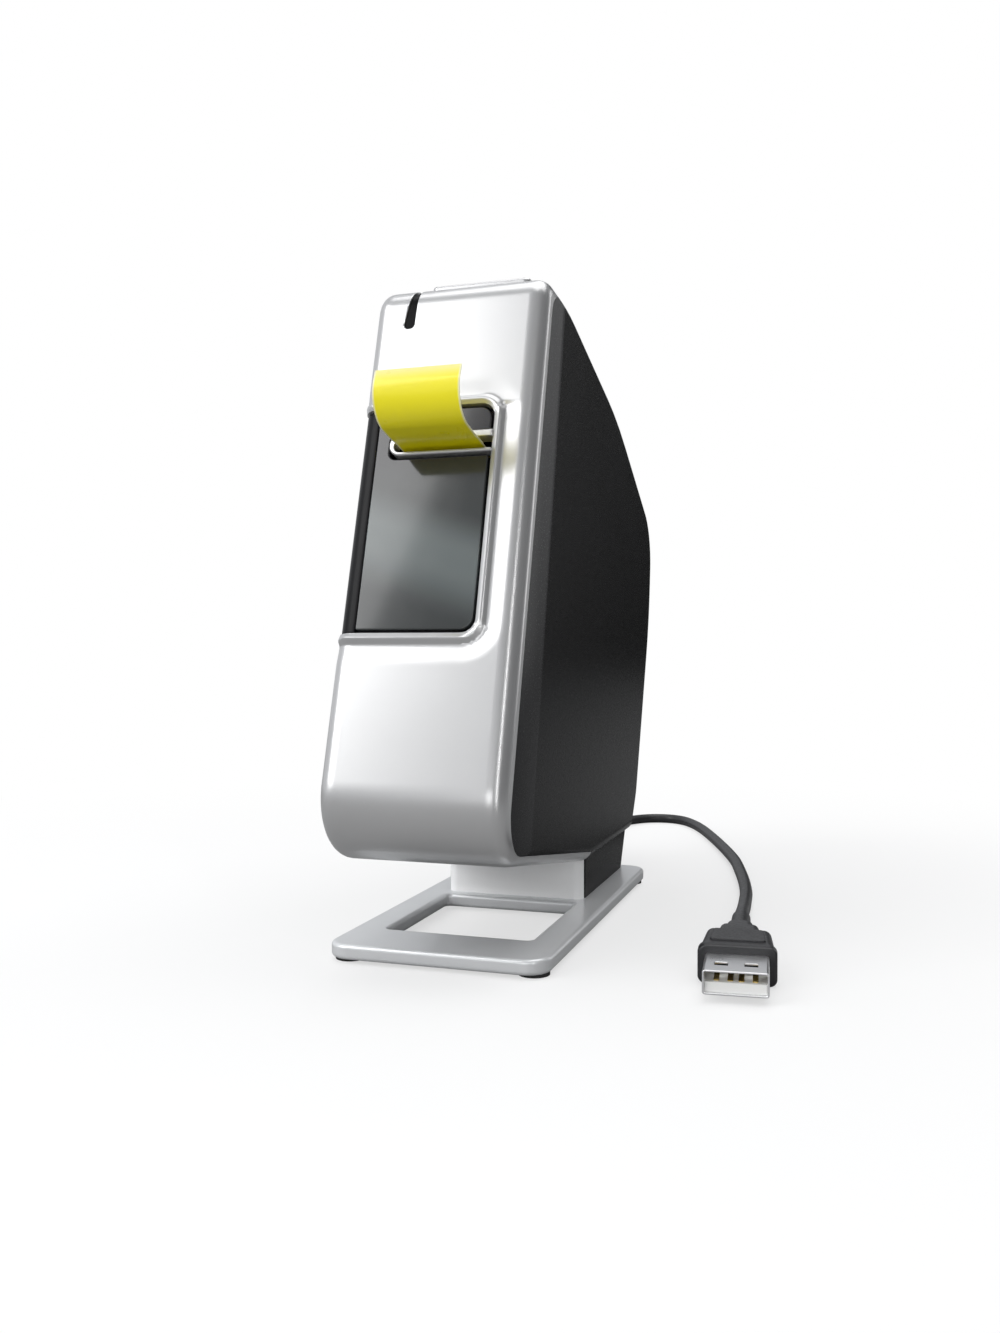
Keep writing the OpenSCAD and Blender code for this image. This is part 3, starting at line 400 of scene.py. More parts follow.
LEAD_GREY = Finish("lead_grey", (0.02, 0.02, 0.022), 0.42, Grain.RUBBERY, 0.0, 0.45, 0.0, 0.12)
TONGUE_WHITE = Finish("tongue_white", (0.88, 0.88, 0.86), 0.35, Grain.POLISHED, 0.0, 0.5, 0.0, 0.02)


# ---------------------------------------------------------------- outlines and meshes


def unit2(v: Point2) -> Point2:
    """The unit vector along v."""
    size = math.hypot(*v)
    return (v[0] / size, v[1] / size)


@dataclass(frozen=True)
class Outline:
    """A closed flat outline, anticlockwise, with a rounding radius at each corner."""

    corners: tuple[Corner, ...]

    def inset(self, depth: float) -> "Outline":
        """The outline moved inwards.

        Args:
            depth: How far in. A negative depth moves it outwards.

        Returns:
            The moved outline, with as many corners.
        """
        made = []
        count = len(self.corners)
        for i, (y, z, r) in enumerate(self.corners):
            before, after = self.corners[i - 1], self.corners[(i + 1) % count]
            e = unit2((y - before[0], z - before[1]))
            f = unit2((after[0] - y, after[1] - z))
            m = (-e[1] - f[1], e[0] + f[0])
            push = 2 * depth / (m[0] ** 2 + m[1] ** 2)
            way = 1 if e[0] * f[1] - e[1] * f[0] > 0 else -1
            left = max(r - way * depth, 0.05) if r > 0 else 0.0
            made.append((y + m[0] * push, z + m[1] * push, left))
        return Outline(tuple(made))

    def points(self, step: float = 5.0, cuts: dict[int, int] | None = None) -> list[Point2]:
        """The outline as points.

        Args:
            step: Degrees between points on a rounded corner.
            cuts: Corner index to the number of pieces that the edge after it is cut into.

        Returns:
            The points in order.
        """
        made: list[Point2] = []
        ends: list[tuple[int, int]] = []
        for i in range(len(self.corners)):
            first = len(made)
            made.extend(self._arc(i, step))
            ends.append((first, len(made) - 1))
        if not cuts:
            return made
        split: list[Point2] = []
        for i, (first, last) in enumerate(ends):
            split.extend(made[first : last + 1])
            a, b = made[last], made[ends[(i + 1) % len(ends)][0]]
            pieces = cuts.get(i, 1)
            for k in range(1, pieces):
                t = k / pieces
                split.append((a[0] + (b[0] - a[0]) * t, a[1] + (b[1] - a[1]) * t))
        return split

    def _arc(self, i: int, step: float) -> list[Point2]:
        """Points of the rounding at corner i.

        Args:
            i: The corner.
            step: Degrees between points.

        Returns:
            The arc's points, or the bare corner.
        """
        y, z, r = self.corners[i]
        if r <= 0:
            return [(y, z)]
        before, after = self.corners[i - 1], self.corners[(i + 1) % len(self.corners)]
        u = unit2((before[0] - y, before[1] - z))
        v = unit2((after[0] - y, after[1] - z))
        half = math.acos(max(-1.0, min(1.0, u[0] * v[0] + u[1] * v[1]))) / 2
        mid = unit2((u[0] + v[0], u[1] + v[1]))
        reach = r / math.sin(half)
        centre = (y + mid[0] * reach, z + mid[1] * reach)
        run = r / math.tan(half)
        s = (y + u[0] * run - centre[0], z + u[1] * run - centre[1])
        e = (y + v[0] * run - centre[0], z + v[1] * run - centre[1])
        start = math.atan2(s[1], s[0])
        sweep = (math.atan2(e[1], e[0]) - start + 3 * math.pi) % (2 * math.pi) - math.pi
        steps = max(2, math.ceil(math.degrees(abs(sweep)) / step - 0.01))
        return [
            (
                centre[0] + r * math.cos(start + sweep * k / steps),
                centre[1] + r * math.sin(start + sweep * k / steps),
            )
            for k in range(steps + 1)
        ]

    @staticmethod
    def rectangle(low: Point2, high: Point2, r: float) -> "Outline":
        """A rounded rectangle from its low corner to its high corner."""
        (a, b), (c, d) = low, high
        return Outline(((a, b, r), (c, b, r), (c, d, r), (a, d, r)))


def new_object(name: str, verts: Iterable[Point3], faces: Iterable[Sequence[int]]) -> bpy.types.Object:
    """A linked mesh object, from millimetres, with faces turned outwards.

    Args:
        name: The piece's name.
        verts: Corner points in millimetres.
        faces: Corner indices of each face.

    Returns:
        The object.
    """
    mesh = bpy.data.meshes.new(name)
    mesh.from_pydata([tuple(c * MM for c in v) for v in verts], [], list(faces))
    made = bmesh.new()
    made.from_mesh(mesh)
    bmesh.ops.recalc_face_normals(made, faces=made.faces)
    made.to_mesh(mesh)
    made.free()
    obj = bpy.data.objects.new(name, mesh)
    bpy.context.scene.collection.objects.link(obj)
    return obj


def skin(name: str, loops: Sequence[Sequence[Ring]]) -> bpy.types.Object:
    """A closed solid between rings: the first loop is its outside and the others are holes.

    Args:
        name: The piece's name.
        loops: For each loop its rings, end to end, each with as many points as the last.

    Returns:
        The object.
    """
    verts: list[Point3] = []
    faces: list[Sequence[int]] = []
    ends: list[tuple[list[int], list[int]]] = []
    for rings in loops:
        start, count = len(verts), len(rings[0])
        for ring in rings:
            verts.extend(ring)
        for k in range(len(rings) - 1):
            a, b = start + k * count, start + (k + 1) * count
            faces.extend((a + j, a + (j + 1) % count, b + (j + 1) % count, b + j) for j in range(count))
        last = start + (len(rings) - 1) * count
        ends.append((list(range(start, start + count)), list(range(last, last + count))))
    for side in (0, 1):
        groups = [end[side] for end in ends]
        if len(groups) == 1:
            faces.append(groups[0] if side else groups[0][::-1])
            continue
        flat = [i for group in groups for i in group]
        filled = tessellate_polygon([[Vector(verts[i]) for i in group] for group in groups])
        faces.extend(tuple(flat[i] for i in triangle) for triangle in filled)
    return new_object(name, verts, faces)


def rim_steps(low: float, high: float, rim: float, steps: int = 5) -> list[tuple[float, float]]:
    """(place, inset) of each ring of a plate whose rims are quarter rounds.

    Args:
        low: First face's place.
        high: Last face's place.
        rim: Radius of the rims.
        steps: Pieces in each quarter round.

    Returns:
        The rings from low to high.
    """
    if rim <= 0:
        return [(low, 0.0), (high, 0.0)]
    turns = [math.pi / 2 * k / steps for k in range(steps + 1)]
    first = [(low + rim * (1 - math.cos(a)), rim * (1 - math.sin(a))) for a in turns]
    return first + [(high - (place - low), inset) for place, inset in reversed(first)]


Placer = Callable[[float, float, float], Point3]


def plate(
    name: str,
    outer: Outline,
    low: float,
    high: float,
    rim: float,
    place: Placer,
    holes: Sequence[Outline] = (),
    step: float = 9.0,
) -> bpy.types.Object:
    """A plate with rounded rims, drawn flat and then placed.

    Args:
        name: The piece's name.
        outer: Its outline.
        low: Where its first face is.
        high: Where its last face is.
        rim: Radius of the rims.
        place: Turns (u, v, height) into a point.
        holes: Outlines of holes.
        step: Degrees between points on rounded corners.

    Returns:
        The object.
    """
    loops = []
    for outline, way in [(outer, 1.0), *((hole, -1.0) for hole in holes)]:
        loops.append(
            [
                [place(u, v, height) for u, v in outline.inset(way * inset).points(step)]
                for height, inset in rim_steps(low, high, rim)
            ]
        )
    return skin(name, loops)


def across(u: float, v: float, height: float) -> Point3:
    """Places a side outline: height is X."""
    return (height, u, v)


def upright(u: float, v: float, height: float) -> Point3:
    """Places a plan outline: height is Z."""
    return (u, v, height)


def prism(
    name: str, points: Sequence[Point2], low: float, high: float, place: Placer
) -> bpy.types.Object:
    """A plain prism, used to carve other pieces.

    Args:
        name: The object's name.
        points: Its outline.
        low: Where its first face is.
        high: Where its last face is.
        place: Turns (u, v, height) into a point.

    Returns:
        The object.
    """
    return skin(name, [[[place(u, v, h) for u, v in points] for h in (low, high)]])


def bake(obj: bpy.types.Object) -> bpy.types.Object:
    """Applies obj's modifiers to its mesh."""
    seen = obj.evaluated_get(bpy.context.evaluated_depsgraph_get())
    mesh = bpy.data.meshes.new_from_object(seen)
    old = obj.data
    obj.modifiers.clear()
    obj.data = mesh
    bpy.data.meshes.remove(old)
    return obj


def carve(target: bpy.types.Object, tool: bpy.types.Object, how: str = "DIFFERENCE") -> bpy.types.Object:
    """Carves target with tool, and deletes the tool.

    Args:
        target: The piece.
        tool: The other solid.
        how: DIFFERENCE, INTERSECT or UNION.

    Returns:
        The piece.
    """
    modifier = target.modifiers.new("carve", "BOOLEAN")
    modifier.object, modifier.operation, modifier.solver = tool, how, "EXACT"
    bake(target)
    bpy.data.objects.remove(tool)
    return target


def soften(
    obj: bpy.types.Object, width: float = 0.0, angle: float = 40.0, segments: int = 2
) -> bpy.types.Object:
    """Rounds the sharp edges that are left on a piece and smooths its shading.

    Args:
        obj: The piece.
        width: Width of the rounding in millimetres, or 0 for shading only.
        angle: Sharpest turn in degrees that stays smooth.
        segments: Pieces in each rounding.

    Returns:
        The piece.
    """
    made = bmesh.new()
    made.from_mesh(obj.data)
    bmesh.ops.remove_doubles(made, verts=made.verts, dist=0.002 * MM)
    bmesh.ops.dissolve_degenerate(made, edges=made.edges, dist=0.002 * MM)
    made.to_mesh(obj.data)
    made.free()
    for polygon in obj.data.polygons:
        polygon.use_smooth = True
    if width > 0:
        bevel = obj.modifiers.new("edges", "BEVEL")
        bevel.width, bevel.segments = width * MM, segments
        bevel.limit_method, bevel.angle_limit = "ANGLE", math.radians(angle)
        bevel.use_clamp_overlap, bevel.miter_outer = True, "MITER_ARC"
        bake(obj)
    obj.data.set_sharp_from_angle(angle=math.radians(angle + 8))
    weighted = obj.modifiers.new("shading", "WEIGHTED_NORMAL")
    weighted.keep_sharp, weighted.weight = True, 60
    return obj


def dress(obj: bpy.types.Object, finish: Finish) -> bpy.types.Object:
    """Gives a piece its finish and nothing else."""
    obj.data.materials.clear()
    obj.data.materials.append(finish.material())
    return obj


def fit(
    obj: bpy.types.Object, finish: Finish, body: str, slot: str, nodes: Sequence[str] = ()
) -> bpy.types.Object:
    """Finishes a piece: material, the body it rides on, the name of its slot, which is only logged, and
    the CAD nodes it stands for.

    Args:
        obj: The piece.
        finish: Its finish.
        body: The CAD body it moves with.
        slot: Name of its material slot, which is only logged.
        nodes: CAD nodes that it replaces.

    Returns:
        The piece.
    """
    dress(obj, finish)
    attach(obj, body)
    if nodes:
        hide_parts(*nodes)
    faces = len(getattr(obj.data, "polygons", ()))
    log.info("%s rides on %s as %s, %d faces", obj.name, body, slot, faces)
    return obj


# ---------------------------------------------------------------- sizes that the pieces share


@dataclass(frozen=True)
class BodySizes:
    """Side outline of the printer's body and the frame of its front face."""

    height: float = 142.0
    depth: float = 148.0
    lean: float = 16.0
    nose_r: float = 13.0
    wall: float = 2.0
    band: float = 4.8
    belly_lip: float = 2.2
    belly_tilt: float = 8.8
    neck_setback: float = 68.2
    neck_depth: float = 45.6
    neck_flare: float = 5.7
    neck_skin: float = 1.6
    neck_half: float = 17.3
    step: float = 13.2
    base_top: float = 4.0
    half: float = 19.2
    slot_drop: float = 36.5

    @property
    def front(self) -> float:
        """Y of the nose's most forward point."""
        return -self.depth / 2

    @property
    def neck(self) -> float:
        """Y of the neck's front."""
        return self.front + self.neck_setback

    @property
    def rump(self) -> float:
        """Y of the back of the neck at the step."""
        return self.neck + self.neck_depth + self.neck_flare

    @property
    def face_dir(self) -> Point2:
        """Direction up the front face."""
        return (math.sin(math.radians(self.lean)), math.cos(math.radians(self.lean)))

    @property
    def belly_dir(self) -> Point2:
        """Direction back along the belly."""
        return (math.cos(math.radians(self.belly_tilt)), -math.sin(math.radians(self.belly_tilt)))

    @property
    def nose(self) -> Point2:
        """Sharp corner that the nose rounds off."""
        f, b = self.face_dir, self.belly_dir
        half = math.acos(f[0] * b[0] + f[1] * b[1]) / 2
        mid = unit2((f[0] + b[0], f[1] + b[1]))
        y = self.front + self.nose_r - mid[0] * self.nose_r / math.sin(half)
        return (y, self.step + (self.neck - y) * math.tan(math.radians(self.belly_tilt)))

    def face_y(self, z: float) -> float:
        """Y of the front face at a height."""
        y, nose_z = self.nose
        return y + (z - nose_z) * math.tan(math.radians(self.lean))

    def outline(self) -> Outline:
        """The body's side outline."""
        top = self.face_y(self.height)
        half = self.depth / 2
        return Outline(
            (
                (*self.nose, self.nose_r),
                (self.neck, self.step, 0),
                (self.rump, self.step, 0),
                (self.rump + 6.8, self.step + 8.8, 14),
                (half - 2, 0.507 * self.height, 90),
                (half + 1.5, 0.708 * self.height, 18),
                (self.front + 0.67 * self.depth, 0.89 * self.height, 110),
                (top + 18, self.height - 1.4, 60),
                (top, self.height, 6),
            )
        )

    def neck_room(self) -> Outline:
        """The hollow inside the neck."""
        inner, back = self.neck + self.neck_skin, self.rump - self.wall
        foot = self.neck + self.neck_depth - self.wall - 0.7
        return Outline(
            (
                (inner, self.base_top - 1, 0),
                (foot, self.base_top - 1, 0),
                (back, self.step, 0),
                (back, self.step + self.wall + 1, 0),
                (inner, self.step + self.wall + 1, 0),
            )
        )

    def cover_outline(self) -> Outline:
        """Everything behind the silver band, as a side outline."""
        lean = math.radians(self.lean)
        nose_y, nose_z = self.nose
        start = (nose_y + self.band / math.cos(lean), nose_z)
        foot = (self.neck, self.step + self.belly_lip)
        across_f = self.face_dir[0] * self.belly_dir[1] - self.face_dir[1] * self.belly_dir[0]
        gap = (foot[0] - start[0], foot[1] - start[1])
        t = (gap[0] * self.belly_dir[1] - gap[1] * self.belly_dir[0]) / across_f
        nose = (start[0] + self.face_dir[0] * t, start[1] + self.face_dir[1] * t)
        top_z = self.height - 4.6
        top = (self.face_y(top_z) + self.band / math.cos(lean), top_z)
        crest = (self.face_y(self.height) + 12.3, self.height - 1)
        far = (top[0] + (crest[0] - top[0]) * 2, top[1] + (crest[1] - top[1]) * 2)
        low, high = -5.0, 2 * self.height
        inner = self.neck + self.neck_skin
        return Outline(
            (
                (*nose, self.nose_r - self.band),
                (inner, foot[1], 0),
                (inner, low, 0),
                (self.depth, low, 0),
                (self.depth, high, 0),
                (far[0], high, 0),
                (*far, 0),
                (*top, 6),
            )
        )

    @property
    def slot_z(self) -> float:
        """Height of the tape slot."""
        return self.height - self.slot_drop

    def on_face(self, x: float, depth: float, rise: float) -> Point3:
        """A point from its place in the face's frame."""
        a, b = math.sin(math.radians(self.lean)), math.cos(math.radians(self.lean))
        y0, z0 = self.face_y(self.slot_z), self.slot_z
        return (x, y0 + depth * b + rise * a, z0 - depth * a + rise * b)

    def face_place(self, u: float, v: float, height: float) -> Point3:
        """Places a face outline: u across, v up the face, height outwards from it."""
        return self.on_face(u, -height, v)

    def face_of(self, y: float, z: float) -> Point2:
        """(depth, rise) in the face's frame of a side point."""
        a, b = math.sin(math.radians(self.lean)), math.cos(math.radians(self.lean))
        dy, dz = y - self.face_y(self.slot_z), z - self.slot_z
        return (dy * b - dz * a, dy * a + dz * b)


BODY = BodySizes()

# Half length of a tool that passes right through the body, and a place well outside its sides.
THROUGH = 60.0
OUTSIDE = 40.0

# First and last place across of the cutter button, then its first and last depth.
BUTTON_SPAN = (-8.0, 14.0, 3.4, 10.4)

# First and last depth of the battery bay, then its lowest and highest rise.
BAY = (63.0, 109.9, -54.0, -15.0)


@dataclass(frozen=True)
class WindowSizes:
    """The window's opening in the face, its bead and the dished face round it."""

    right: float = 10.4
    top: float = 9.0
    low: float = -39.7
    corner: float = 3.0
    bead_w: float = 2.1
    bead_h: float = 0.55
    dish_w: float = 4.3
    dish_h: float = 0.42
    dish_above: float = 0.3
    inside: float = -1.5
    door_low: float = -48.5
    hinge: float = 59.0
    hinge_r: float = 1.2

    def distance(self, x: float, rise: float) -> float:
        """Distance outwards from the opening's edge, which runs off the face's left side.

        Args:
            x: Place across.
            rise: Place up the face.

        Returns:
            The distance, negative inside.
        """
        mid = (self.top + self.low) / 2
        dx = x - (self.right - self.corner)
        dz = abs(rise - mid) - ((self.top - self.low) / 2 - self.corner)
        outside = math.hypot(max(dx, 0.0), max(dz, 0.0))
        return outside + min(max(dx, dz), 0.0) - self.corner

    def relief(self, x: float, rise: float) -> float:
        """Height of the face there: a half-round bead, then a soft dish that rises to the face.

        Args:
            x: Place across.
            rise: Place up the face.

        Returns:
            The height above the plain face.
        """
        d = self.distance(x, rise)
        if d <= self.inside:
            return 0.0
        depth = self.dish_h * (self.dish_above if rise > self.top else 1.0)
        if d <= self.bead_w:
            t = max(-1.0, min(1.0, (d - self.bead_w / 2) / (self.bead_w / 2)))
            foot = -depth * max(0.0, t) ** 3
            return self.bead_h * (0.5 + 0.5 * math.cos(math.pi * t)) ** 0.7 + foot
        t = (d - self.bead_w) / self.dish_w
        return -depth * (0.5 + 0.5 * math.cos(math.pi * t)) if t < 1 else 0.0


WINDOW = WindowSizes()


# ---------------------------------------------------------------- body, covers and neck


def lathe(
    name: str, profile: Sequence[tuple[float, float]], place: Placer, count: int = 48
) -> bpy.types.Object:
    """A turned solid.

    Args:
        name: The piece's name.
        profile: (station, radius) along its axis.
        place: Turns (u, v, station) into a point.
        count: Points in each ring.

    Returns:
        The object.
    """
    turns = [2 * math.pi * k / count for k in range(count)]
    rings = [[place(r * math.cos(a), r * math.sin(a), s) for a in turns] for s, r in profile]
    return skin(name, [rings])


def face_box(name: str, low: Point3, high: Point3, r: float = 0.0) -> bpy.types.Object:
    """A box in the face's frame, used to carve.

    Args:
        name: The object's name.
        low: Low corner as (x, depth, rise).
        high: High corner as (x, depth, rise).
        r: Radius of its corners as seen square to the face.

    Returns:
        The object.
    """
    outline = Outline.rectangle((low[0], low[2]), (high[0], high[2]), r).points(6)
    return prism(name, outline, -high[1], -low[1], BODY.face_place)


@dataclass
class Hinge:
    """A row of knuckles on a pin that stands along the face's rise, at the left side."""

    depth: float
    low: float
    high: float
    pin_x: float = -18.0
    radius: float = WINDOW.hinge_r
    bore: float = 0.62
    count: int = 5
    gap: float = 0.2
    wall: float = 1.8

    def knuckles(self, target: bpy.types.Object, first: int, root: float) -> bpy.types.Object:
        """Adds every second knuckle to a piece.

        Args:
            target: The piece that they grow from.
            first: Index of the first knuckle, 0 or 1.
            root: Depth that the knuckles' root reaches to.

        Returns:
            The piece.
        """
        share = (self.high - self.low) / self.count
        for i in range(first, self.count, 2):
            low = self.low + i * share + self.gap
            high = low + share - 2 * self.gap
            barrel = self._barrel(low, high, self.radius)
            a, b = sorted((self.depth, root))
            side = -BODY.half
            web = face_box("web", (side + 0.02, a, low), (side + self.wall, b, high))
            carve(target, carve(barrel, web, "UNION"), "UNION")
        return carve(target, self._barrel(self.low - 1, self.high + 1, self.bore))

    def _barrel(self, low: float, high: float, radius: float) -> bpy.types.Object:
        """A cylinder on the pin's line."""
        return lathe(
            "barrel",
            [(low, radius), (high, radius)],
            lambda u, v, s: BODY.on_face(self.pin_x + u, self.depth + v, s),
            24,
        )


@dataclass
class Housing:
    """Silver front band, two black side covers, white neck and the silver lip round the slot."""

    body: BodySizes = BODY
    window: WindowSizes = WINDOW
    rim: float = 3.4
    rim_pieces: int = 7
    edge: float = 0.22
    split: float = 0.12
    inner_half: float = 17.2
    neck_r: float = 2.6
    neck_root: float = 14.4
    cell: float = 0.55
    face_cuts: int = 220
    crease: tuple[Point2, Point2] = ((-32.5, 130.9), (-53.2, 42.0))
    crease_slope: float = 1 / 13.0
    screw_head: float = 2.4
    screw_bore: float = 1.3
    screw_places: tuple[Point2, ...] = ((-31.3, 130.0), (64.0, 90.5), (-13.8, 24.2), (39.5, 20.2))
    gland: tuple[float, float] = (8.6, 2.9)
    power_hole: float = 4.7
    bay: tuple[float, float, float, float] = BAY
    button: tuple[float, float, float, float] = BUTTON_SPAN
    button_gap: float = 0.3
    button_floor: float = 28.0
    boss: tuple[float, float] = (2.6, 9.8)
    boss_end: float = 17.6
    bore_end: float = 17.0
    head_floor: float = -17.5
    drill_start: float = -30.0
    slit: tuple[float, float, float, float] = (-12.1, -9.0, 27.6, 46.0)

    def build(self) -> None:
        """Builds and fits every outer part of the housing."""
        fit(self.front_shell(), SILVER, HOUSING, "silver_shell", ["front_shell"])
        (y1, z1), (y2, z2) = self.crease
        line = Vector((0, y1 - y2, z1 - z2)).normalized()
        out = Vector((-self.crease_slope, -1, 0)).cross(line).normalized()
        out = out if out.x > 0 else -out
        # The right cover's black carries painted shade towards the stand and a painted reflection on its
        # planed strip.
        black = CoverBlack(
            "satin_black_right_painted_light", BLACK.colour, BLACK.roughness, BLACK.grain, 0.0, BLACK.specular,
            tint=BLACK.tint, strip_at=(self.body.half * MM, y1 * MM, z1 * MM), strip_out=tuple(out),
        )
        fit(self.cover(1), black, HOUSING, "black_cover", ["right_cover"])
        fit(self.cover(-1), BLACK, HOUSING, "black_cover", ["left_cover"])
        fit(self.neck(), WHITE, HOUSING, "white_neck", ["neck_cover"])
        fit(self.lip(), SILVER, HOUSING, "silver_shell", ["exit_lip"])
        fit(self.lens(), BLACK, HOUSING, "black_gloss", ["status_lens"])

    def solid(self, name: str, inset: float = 0.0, fine: bool = False) -> bpy.types.Object:
        """The whole body with rounded rims, and the window's bead and dish where it is fine.

        Args:
            name: The object's name.
            inset: How far the outline is moved in.
            fine: Whether the front face is worked in small cells.

        Returns:
            The object.
        """
        outline = self.body.outline().inset(inset)
        half = self.body.half
        rings = rim_steps(-half, half, self.rim, self.rim_pieces)
        flat = half - self.rim
        if fine:
            count = round(2 * flat / self.cell)
            middle = [(-flat + 2 * flat * k / count, 0.0) for k in range(1, count)]
            first = self.rim_pieces + 1
            rings = rings[:first] + middle + rings[first:]
        cuts = {len(outline.corners) - 1: self.face_cuts} if fine else None
        made = []
        for x, depth in rings:
            ring = []
            for y, z in outline.inset(depth).points(4, cuts):
                d, rise = self.body.face_of(y, z)
                if fine and d < 4:
                    y, z = self.body.on_face(x, d - self.window.relief(x, rise), rise)[1:]
                ring.append((x, y, z))
            made.append(ring)
        return skin(name, [made])

    def front_shell(self) -> bpy.types.Object:
        """The silver band that wraps the face, the belly lip and the top."""
        shell = self.solid("silver_front", 0.0, True)
        carve(shell, self._zone("zone", 0.0))
        carve(shell, self._room("room"))
        w = self.window
        carve(shell, face_box("view", (-OUTSIDE, -6, w.low), (w.right, 9, w.top), w.corner))
        carve(shell, self._well("well"))
        carve(shell, self.drop("slit", 0.0, -4.0, 6.5))
        return soften(shell, self.edge)

    def cover(self, side: int) -> bpy.types.Object:
        """A black side cover.

        Args:
            side: 1 for the right cover, -1 for the left.

        Returns:
            The piece.
        """
        name = "black_right_cover" if side > 0 else "black_left_cover"
        shell = self.solid(name)
        carve(shell, self._neck_solid("neck"), "UNION")
        carve(shell, self._zone("zone", self.split), "INTERSECT")
        carve(shell, self._room("room"))
        carve(shell, self._neck_room("neck room"))
        far = 200.0
        low, high = (-far, 0.02) if side > 0 else (-0.02, far)
        square = [(-far, -far), (far, -far), (far, far), (-far, far)]
        carve(shell, prism("half", square, low, high, across))
        carve(shell, self._well("well"))
        carve(shell, PowerButton().bore("power", self.power_hole))
        z, r = self.gland
        carve(shell, lathe("gland", [(20, r), (90, r)], lambda u, v, s: (u, s, z + v)))
        if side > 0:
            carve(shell, self._strip("strip"))
            for y, z in self.screw_places:
                carve(shell, self._bar("boss", y, z, *self.boss, self.boss_end), "UNION")
                carve(shell, self._bar("hole", y, z, self.screw_bore, 0, self.bore_end))
            return soften(shell, self.edge)
        w = self.window
        back = w.hinge + w.hinge_r + 0.7
        inside = -self.inner_half + 1
        carve(shell, face_box("door", (-OUTSIDE, 3.0, w.door_low), (inside, back, w.top)))
        n0, n1, w0, w1 = self.bay
        carve(shell, face_box("bay", (-OUTSIDE, n0, w0), (inside, n1, w1)))
        for y, z in self.screw_places:
            carve(shell, self._bar("head", y, z, self.screw_head, self.drill_start, self.head_floor))
            carve(shell, self._bar("hole", y, z, self.screw_bore, self.drill_start, 0))
        soften(shell, self.edge)
        shell.modifiers.clear()
        Hinge(w.hinge, w.door_low, w.top, bore=0.6).knuckles(shell, 0, back + 1)
        Hinge(n1 - 1.9, w0, w1, bore=0.6).knuckles(shell, 0, n1 + 1)
        return soften(shell)

    def neck(self) -> bpy.types.Object:
        """The white skin on the neck's front."""
        skin_front = self._neck_solid("white_neck_front")
        carve(skin_front, self._zone("zone", 0.05))
        carve(skin_front, self._neck_room("neck room"))
        carve(skin_front, self.solid("body"))
        return soften(skin_front, 0.15)

    def lip(self) -> bpy.types.Object:
        """The silver lip with the tape slot in it, open to the right."""
        left, right = -11.9, self.window.right
        outer = Outline(((left, -1.8, 2.38), (right, -1.8, 0), (right, 3.0, 0), (left, 3.0, 2.38)))
        lip = plate("slot_lip", outer, -2.6, 0.5, 0.4, self.body.face_place, step=6)
        slot = Outline(((left + 1.1, -1.1, 1.28), (20, -1.1, 0), (20, 1.5, 0), (left + 1.1, 1.5, 1.28)))
        carve(lip, prism("slot", slot.points(6), -4, 3, self.body.face_place))
        return soften(lip, 0.12)

    def drop(self, name: str, inset: float, low: float, high: float) -> bpy.types.Object:
        """The drop-shaped slit that runs off the top edge, as a prism into the face.

        Args:
            name: The object's name.
            inset: How far its outline is moved in.
            low: First depth.
            high: Last depth.

        Returns:
            The object.
        """
        x0, x1, foot, top = self.slit
        shape = Outline(((x0, foot, 1.1), (x1 - 0.5, foot, 1.1), (x1, top, 0), (x1 - 0.7, top, 0)))
        return prism(name, shape.inset(inset).points(12), -high, -low, self.body.face_place)

    def lens(self) -> bpy.types.Object:
        """The black lens that fills the slit, a little below the face."""
        lens = self.solid("status_slit_lens", 0.3)
        core = self.body.outline().inset(self.body.wall).points(4)
        carve(lens, prism("core", core, -THROUGH, THROUGH, across))
        carve(lens, self.drop("slit", 0.06, -4.0, 6.4), "INTERSECT")
        return soften(lens, 0.08)

    def _zone(self, name: str, inset: float) -> bpy.types.Object:
        """Everything behind the silver band."""
        points = self.body.cover_outline().inset(inset).points(4)
        return prism(name, points, -THROUGH, THROUGH, across)

    def _room(self, name: str) -> bpy.types.Object:
        """The hollow inside the body."""
        points = self.body.outline().inset(self.body.wall).points(4)
        return prism(name, points, -self.inner_half, self.inner_half, across)

    def _neck_room(self, name: str) -> bpy.types.Object:
        """The hollow inside the neck."""
        half = self.body.neck_half - self.body.wall
        return prism(name, self.body.neck_room().points(), -half, half, across)

    def _neck_solid(self, name: str) -> bpy.types.Object:
        """The neck, with rounded upright corners and a back that flares."""
        half, front = self.body.neck_half, self.body.neck
        back = front + self.body.neck_depth
        rings = []
        rump = self.body.rump
        for z, y in ((self.body.base_top, back), (self.body.step, rump), (self.neck_root, rump)):
            plan = Outline.rectangle((-half, front), (half, y), self.neck_r)
            rings.append([(u, v, z) for u, v in plan.points(9)])
        return skin(name, [rings])

    def _well(self, name: str) -> bpy.types.Object:
        """The well that the cutter button slides in."""
        x0, x1, n0, n1 = self.button
        gap = self.button_gap
        return face_box(name, (x0 - gap, n0 - gap, self.button_floor), (x1 + gap, n1 + gap, 90))

    def _bar(self, name: str, y: float, z: float, r: float, low: float, high: float) -> bpy.types.Object:
        """A cylinder across the body at a side place."""
        return lathe(name, [(low, r), (high, r)], lambda u, v, s: (s, y + u, z + v), 32)

    def _strip(self, name: str) -> bpy.types.Object:
        """The wedge that planes a flat strip beside the silver band."""
        (y1, z1), (y2, z2) = self.crease
        line = Vector((0, y1 - y2, z1 - z2)).normalized()
        start = Vector((self.body.half, y1, z1))
        out = Vector((-self.crease_slope, -1, 0))
        aside = Vector((30, 0, 0))
        ends = []
        for reach in (-220, 140):
            p = start + line * reach
            far = p + out * 70
            ends.append([tuple(p), tuple(far), tuple(far + aside), tuple(p + aside)])
        return skin(name, [ends])


# ---------------------------------------------------------------- doors and buttons


